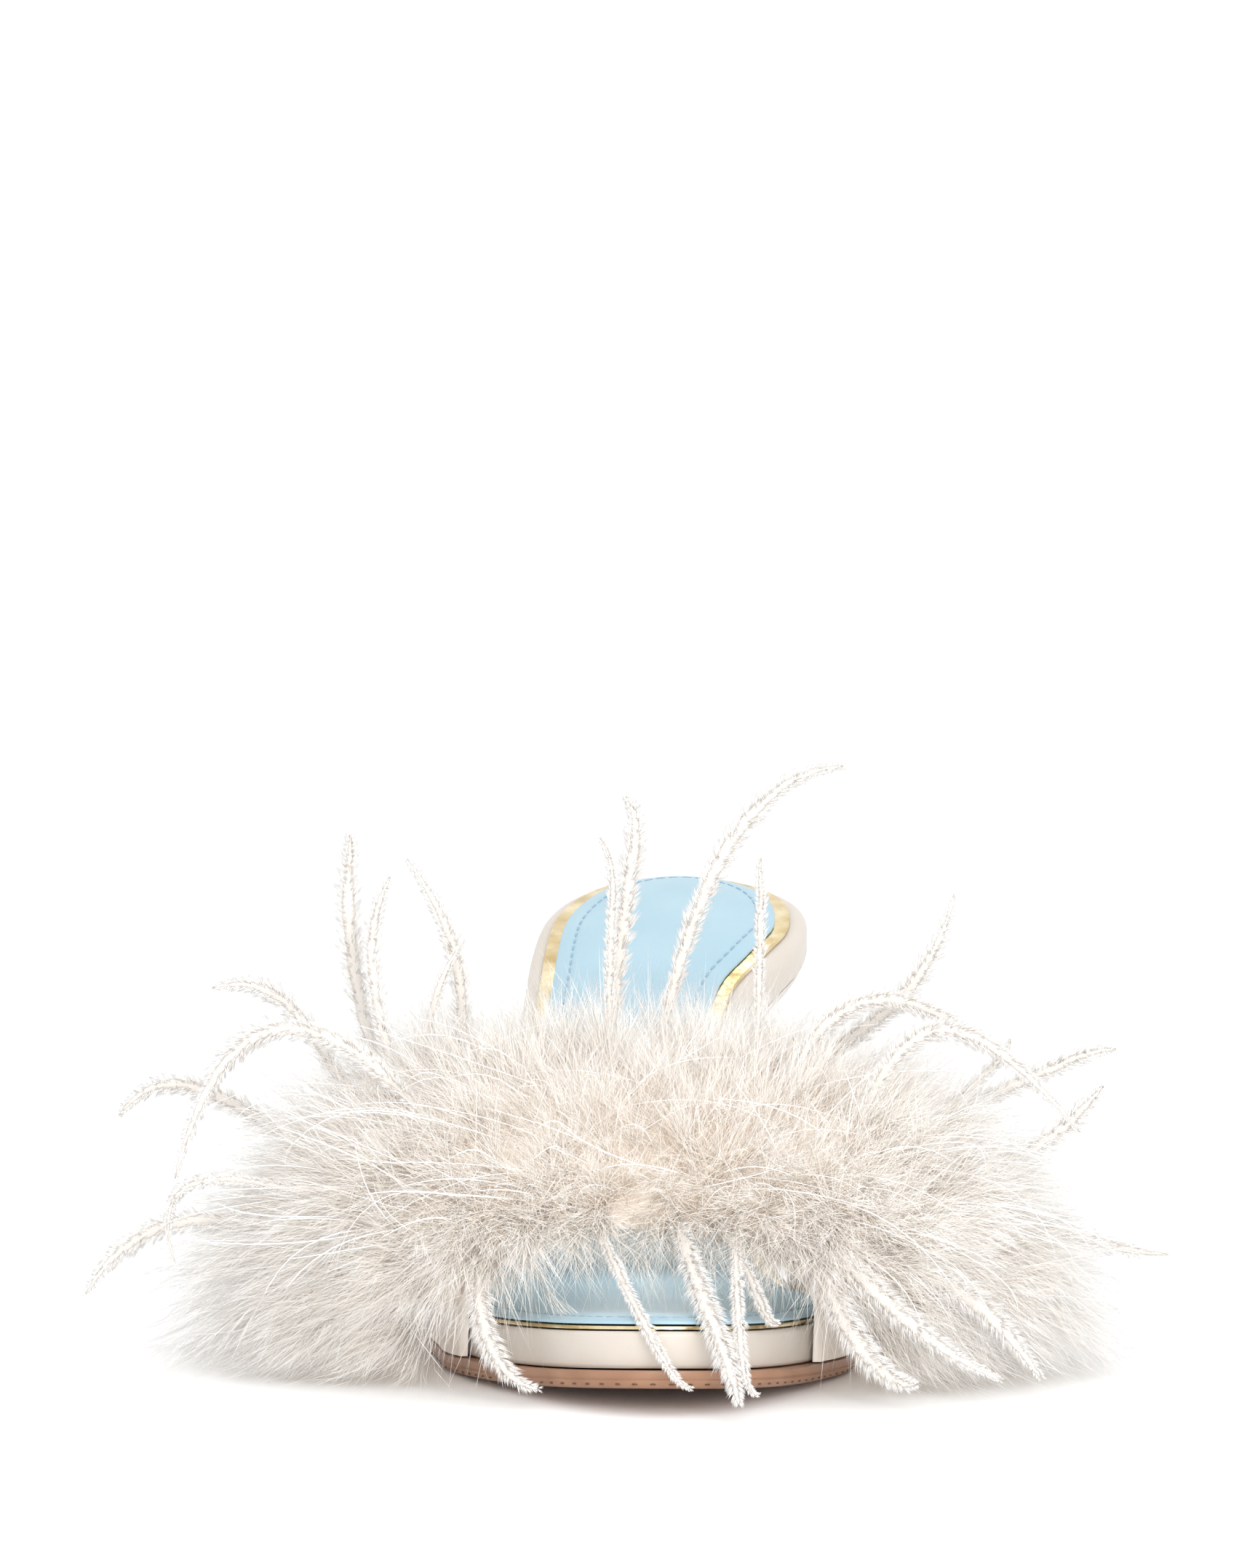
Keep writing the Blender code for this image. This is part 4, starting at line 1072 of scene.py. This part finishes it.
class MULE_OT_upper(bpy.types.Operator):
    """Ivory upper with its edges turned in over a fine bead"""

    bl_idname = "mule.upper"
    bl_label = "Upper"

    def execute(self, context):
        bead, wall = 0.8 * MM, UPPER_WALL
        rings = []
        for across in np.linspace(0.0, 1.0, 141):
            length = upper_station(across, 1.0) - upper_station(across, 0.0)
            outside = [(0.0, 0.75), (0.25, 1.0), (0.6, 1.06), (1.0, 1.0), (1.2, 0.7), (1.4, 0.68),
                       (1.65, 0.95), (2.1, 1.0)]
            profile = [(inset * MM / length, share * wall) for inset, share in outside]
            profile += [(share, wall) for share in np.linspace(0.1, 0.9, 14)]
            profile += [(1 - inset * MM / length, share * wall) for inset, share in reversed(outside)]
            profile += [(1.0 + 0.15 * bead / length, 0.5 * wall), (1.0, 0.15 * wall), (0.985, 0.0)]
            profile += [(share, 0.0) for share in np.linspace(0.92, 0.08, 14)]
            profile += [(0.015, 0.0), (0.0, 0.15 * wall), (-0.15 * bead / length, 0.5 * wall)]
            rings.append([last_point(across, upper_station(across, share), offset)
                          for share, offset in profile])
        piece = mesh_piece("upper_leather", closed_loft(rings), ivory_kid_leather(), 50)
        finish_piece(piece, "ivory_leather", "upper")
        return {"FINISHED"}


def seat_shares(count):
    """Shares of the way from the breast to the heel's back, closer together towards the back."""
    return [math.sin(0.5 * math.pi * n / count) ** 1.15 for n in range(count)] + [0.9995]


def top_piece_half(share):
    return TOP_PIECE_HALF_WIDTH * math.sqrt(max(1 - max(share - 0.35, 0) ** 2 / 0.65**2, 0.0))


class MULE_OT_heel(bpy.types.Operator):
    """Slim heel covered in ivory leather, and its top piece"""

    bl_idname = "mule.heel"
    bl_label = "Heel"

    def execute(self, context):
        shares = seat_shares(20)
        outline = [(-1, share) for share in shares] + [(1, share) for share in reversed(shares)]
        back = HEEL_LENGTH - SEAT_INSET
        foot = TOP_PIECE_HEIGHT + GAP
        centre = 0.5 * (TOP_PIECE_FRONT + TOP_PIECE_BACK)
        middle = sum(edges(centre)) / 2
        rings = []
        for down in np.linspace(0, 1, 49) ** 1.5:
            across = table_value(HEEL_ACROSS, down)
            front_now = mix(BREAST, TOP_PIECE_FRONT, table_value(HEEL_BREAST, down))
            back_now = mix(back, TOP_PIECE_BACK, table_value(HEEL_BACK, down))
            ring = []
            for side, share in outline:
                seat_y = mix(BREAST, back, share)
                seat_x = edges(seat_y, (0.0, SEAT_INSET))[0 if side < 0 else 1]
                seat_z = above_tread(seat_y, INSOLE_BOTTOM) - GAP
                ring.append(Vector((
                    mix(seat_x, middle + side * top_piece_half(share), across),
                    mix(front_now, back_now, share),
                    mix(seat_z, foot, down),
                )))
            rings.append(ring)
        cover = mesh_piece("heel_cover", closed_loft(rings), ivory_calf_leather(), 45)
        finish_piece(cover, "ivory_leather", "covered_heel")
        rings = []
        top = TOP_PIECE_HEIGHT / MM
        for z, inset in ((0.0, 0.25), (0.25, 0.0), (top - 0.25, 0.0), (top, 0.25)):
            scale = 1 - inset * MM / TOP_PIECE_HALF_WIDTH
            rings.append([
                Vector((middle + side * top_piece_half(share) * scale,
                        centre + (mix(TOP_PIECE_FRONT, TOP_PIECE_BACK, share) - centre) * scale, z * MM))
                for side, share in outline
            ])
        tip = mesh_piece("heel_tip", closed_loft(rings), heel_tip_rubber(), 35)
        finish_piece(tip, "heel_rubber", "top_piece")
        return {"FINISHED"}


class MULE_OT_down(bpy.types.Operator):
    """Marabou down: a packed core, barbed plumelets and stray hairs, in zones from side to side"""

    bl_idname = "mule.down"
    bl_label = "Marabou down"

    def execute(self, context):
        down = look("down")
        material = marabou_down()
        finish_piece(down_core(material), "down", "marabou_trim")
        zone_edges = np.linspace(0.03, 0.97, down.zones + 1)
        for zone, (low, high) in enumerate(zip(zone_edges, zone_edges[1:]), start=1):
            rng = np.random.default_rng(down.seed + zone)
            groups = plumelets(rng, scattered_seats(rng, down.plumelets, low, high), down.barbs)
            fine = scattered_seats(rng, down.fine_hairs, low, high)
            groups.append(guard_hairs(rng, fine, down.hair_width, 0.5, 1.5, 0.4))
            long = scattered_seats(rng, down.long_hairs, low, high)
            groups.append(guard_hairs(rng, long, down.long_hair_width, 1.0, 1.7, 0.75))
            piece = filament_piece(f"marabou_zone_{zone}", groups, material)
            finish_piece(piece, "down", "marabou_trim")
        rng = np.random.default_rng(down.seed)
        seats = mouth_seats(rng, down.mouth_plumelets, 0.3, 0.7, FRINGE_REACH)
        seats = (*seats[:2], seats[2][:, 0], seats[3][:, 0])
        fringe = plumelets(rng, seats, down.barbs // 2) + [mouth_hairs(rng, down.mouth_hairs)]
        fringe.append(crossing_hairs(rng, down.crossing_hairs))
        fringe = filament_piece("mouth_fringe", fringe, material)
        finish_piece(fringe, "down", "marabou_trim")
        return {"FINISHED"}


class MULE_OT_strands(bpy.types.Operator):
    """Long ostrich strands, one piece for each solid and one for the fine ones"""

    bl_idname = "mule.strands"
    bl_label = "Ostrich strands"

    def execute(self, context):
        strand = look("strands")
        material = ostrich_feather()
        for place, row in enumerate(STRANDS, start=1):
            rng = np.random.default_rng(strand.seed + place)
            hangs = row[2][2] < HANGING_TIP
            width = strand.width * rng.uniform(0.85, 1.15) * (HANGING_WIDTH if hangs else 1.0)
            piece = filament_piece(f"ostrich_strand_{place:02d}", strand_parts(row, rng, width), material)
            finish_piece(piece, "ostrich", f"ostrich_plume_{place:02d}")
        groups = []
        for place, row in enumerate(FINE_STRANDS, start=50):
            rng = np.random.default_rng(strand.seed + place)
            groups += strand_parts(row, rng, strand.fine_width)
        finish_piece(filament_piece("fine_ostrich_strands", groups, material), "ostrich")
        return {"FINISHED"}


def area_light(name, place, aim, size, watts):
    data = bpy.data.lights.new(name, "AREA")
    data.shape = "DISK"
    data.size = size
    data.energy = watts
    light = bpy.data.objects.new(name, data)
    bpy.context.scene.collection.objects.link(light)
    light.location = place
    light.rotation_euler = (Vector(aim) - Vector(place)).to_track_quat("-Z", "Y").to_euler()
    return light


class MULE_OT_stage(bpy.types.Operator):
    """Camera at the photo's angle, white floor and soft light"""

    bl_idname = "mule.stage"
    bl_label = "Stage"

    def execute(self, context):
        stage = look("stage")
        scene = context.scene
        around, over = stage.azimuth, stage.elevation
        place = stage.distance * Vector((
            math.sin(around) * math.cos(over), -math.cos(around) * math.cos(over), math.sin(over)))
        aim = Vector((-math.sin(stage.pan) * math.cos(stage.tilt), math.cos(stage.pan) * math.cos(stage.tilt),
                      -math.sin(stage.tilt)))
        data = bpy.data.cameras.new("photo_camera")
        data.sensor_width = 36
        data.lens = stage.lens
        data.clip_end = 50
        camera = bpy.data.objects.new("photo_camera", data)
        scene.collection.objects.link(camera)
        camera.location = place
        camera.rotation_euler = aim.to_track_quat("-Z", "Y").to_euler()
        scene.camera = camera

        bm = bmesh.new()
        bmesh.ops.create_grid(bm, x_segments=4, y_segments=4, size=6.0)
        mesh_piece("floor", bm, studio_floor())

        world = bpy.data.worlds.new("white_surround")
        world.use_nodes = True
        world.node_tree.nodes["Background"].inputs["Color"].default_value = (1.0, 1.0, 1.0, 1.0)
        world.node_tree.nodes["Background"].inputs["Strength"].default_value = stage.sky
        scene.world = world
        scene.view_settings.view_transform = "Standard"
        scene.cycles.max_bounces = 32
        scene.cycles.diffuse_bounces = 32
        area_light("key", (0.1, 0.25, 1.2), (0, 0.0, 0.02), 0.6, stage.key)
        area_light("front", (0.28, -1.25, 0.36), (0, 0.0, 0.03), 0.9, stage.front)
        area_light("opening", (0, 0.004, 0.034), (0, -0.035, 0.006), 0.03, stage.opening)
        return {"FINISHED"}


class MULE_PT_panel(bpy.types.Panel):
    """Lists the mule's pieces in the sidebar"""

    bl_idname = "MULE_PT_panel"
    bl_label = "Marabou mule"
    bl_space_type = "VIEW_3D"
    bl_region_type = "UI"
    bl_category = "Marabou mule"

    def draw(self, context):
        for operator in OPERATORS:
            self.layout.operator(operator.bl_idname)
        for name in GROUPS:
            group = getattr(context.scene, "mule_" + name)
            box = self.layout.box()
            for key in group.bl_rna.properties.keys():
                if key not in ("rna_type", "name"):
                    box.prop(group, key)


GROUPS = {"colours": MuleColours, "stitches": MuleStitches, "down": MuleDown, "strands": MuleStrands,
          "stage": MuleStage}
OPERATORS = (MULE_OT_outsole, MULE_OT_insole, MULE_OT_border, MULE_OT_sock, MULE_OT_stitches, MULE_OT_upper,
             MULE_OT_heel, MULE_OT_down, MULE_OT_strands, MULE_OT_stage)


def register():
    for group in GROUPS.values():
        bpy.utils.register_class(group)
    for operator in OPERATORS:
        bpy.utils.register_class(operator)
    bpy.utils.register_class(MULE_PT_panel)
    for name, group in GROUPS.items():
        setattr(bpy.types.Scene, "mule_" + name, bpy.props.PointerProperty(type=group))


def unregister():
    for name in GROUPS:
        delattr(bpy.types.Scene, "mule_" + name)
    bpy.utils.unregister_class(MULE_PT_panel)
    for operator in reversed(OPERATORS):
        bpy.utils.unregister_class(operator)
    for group in reversed(GROUPS.values()):
        bpy.utils.unregister_class(group)


def main():
    """Makes every piece."""
    register()
    for operator in OPERATORS:
        family, name = operator.bl_idname.split(".")
        getattr(getattr(bpy.ops, family), name)()


if __name__ == "__main__":
    main()
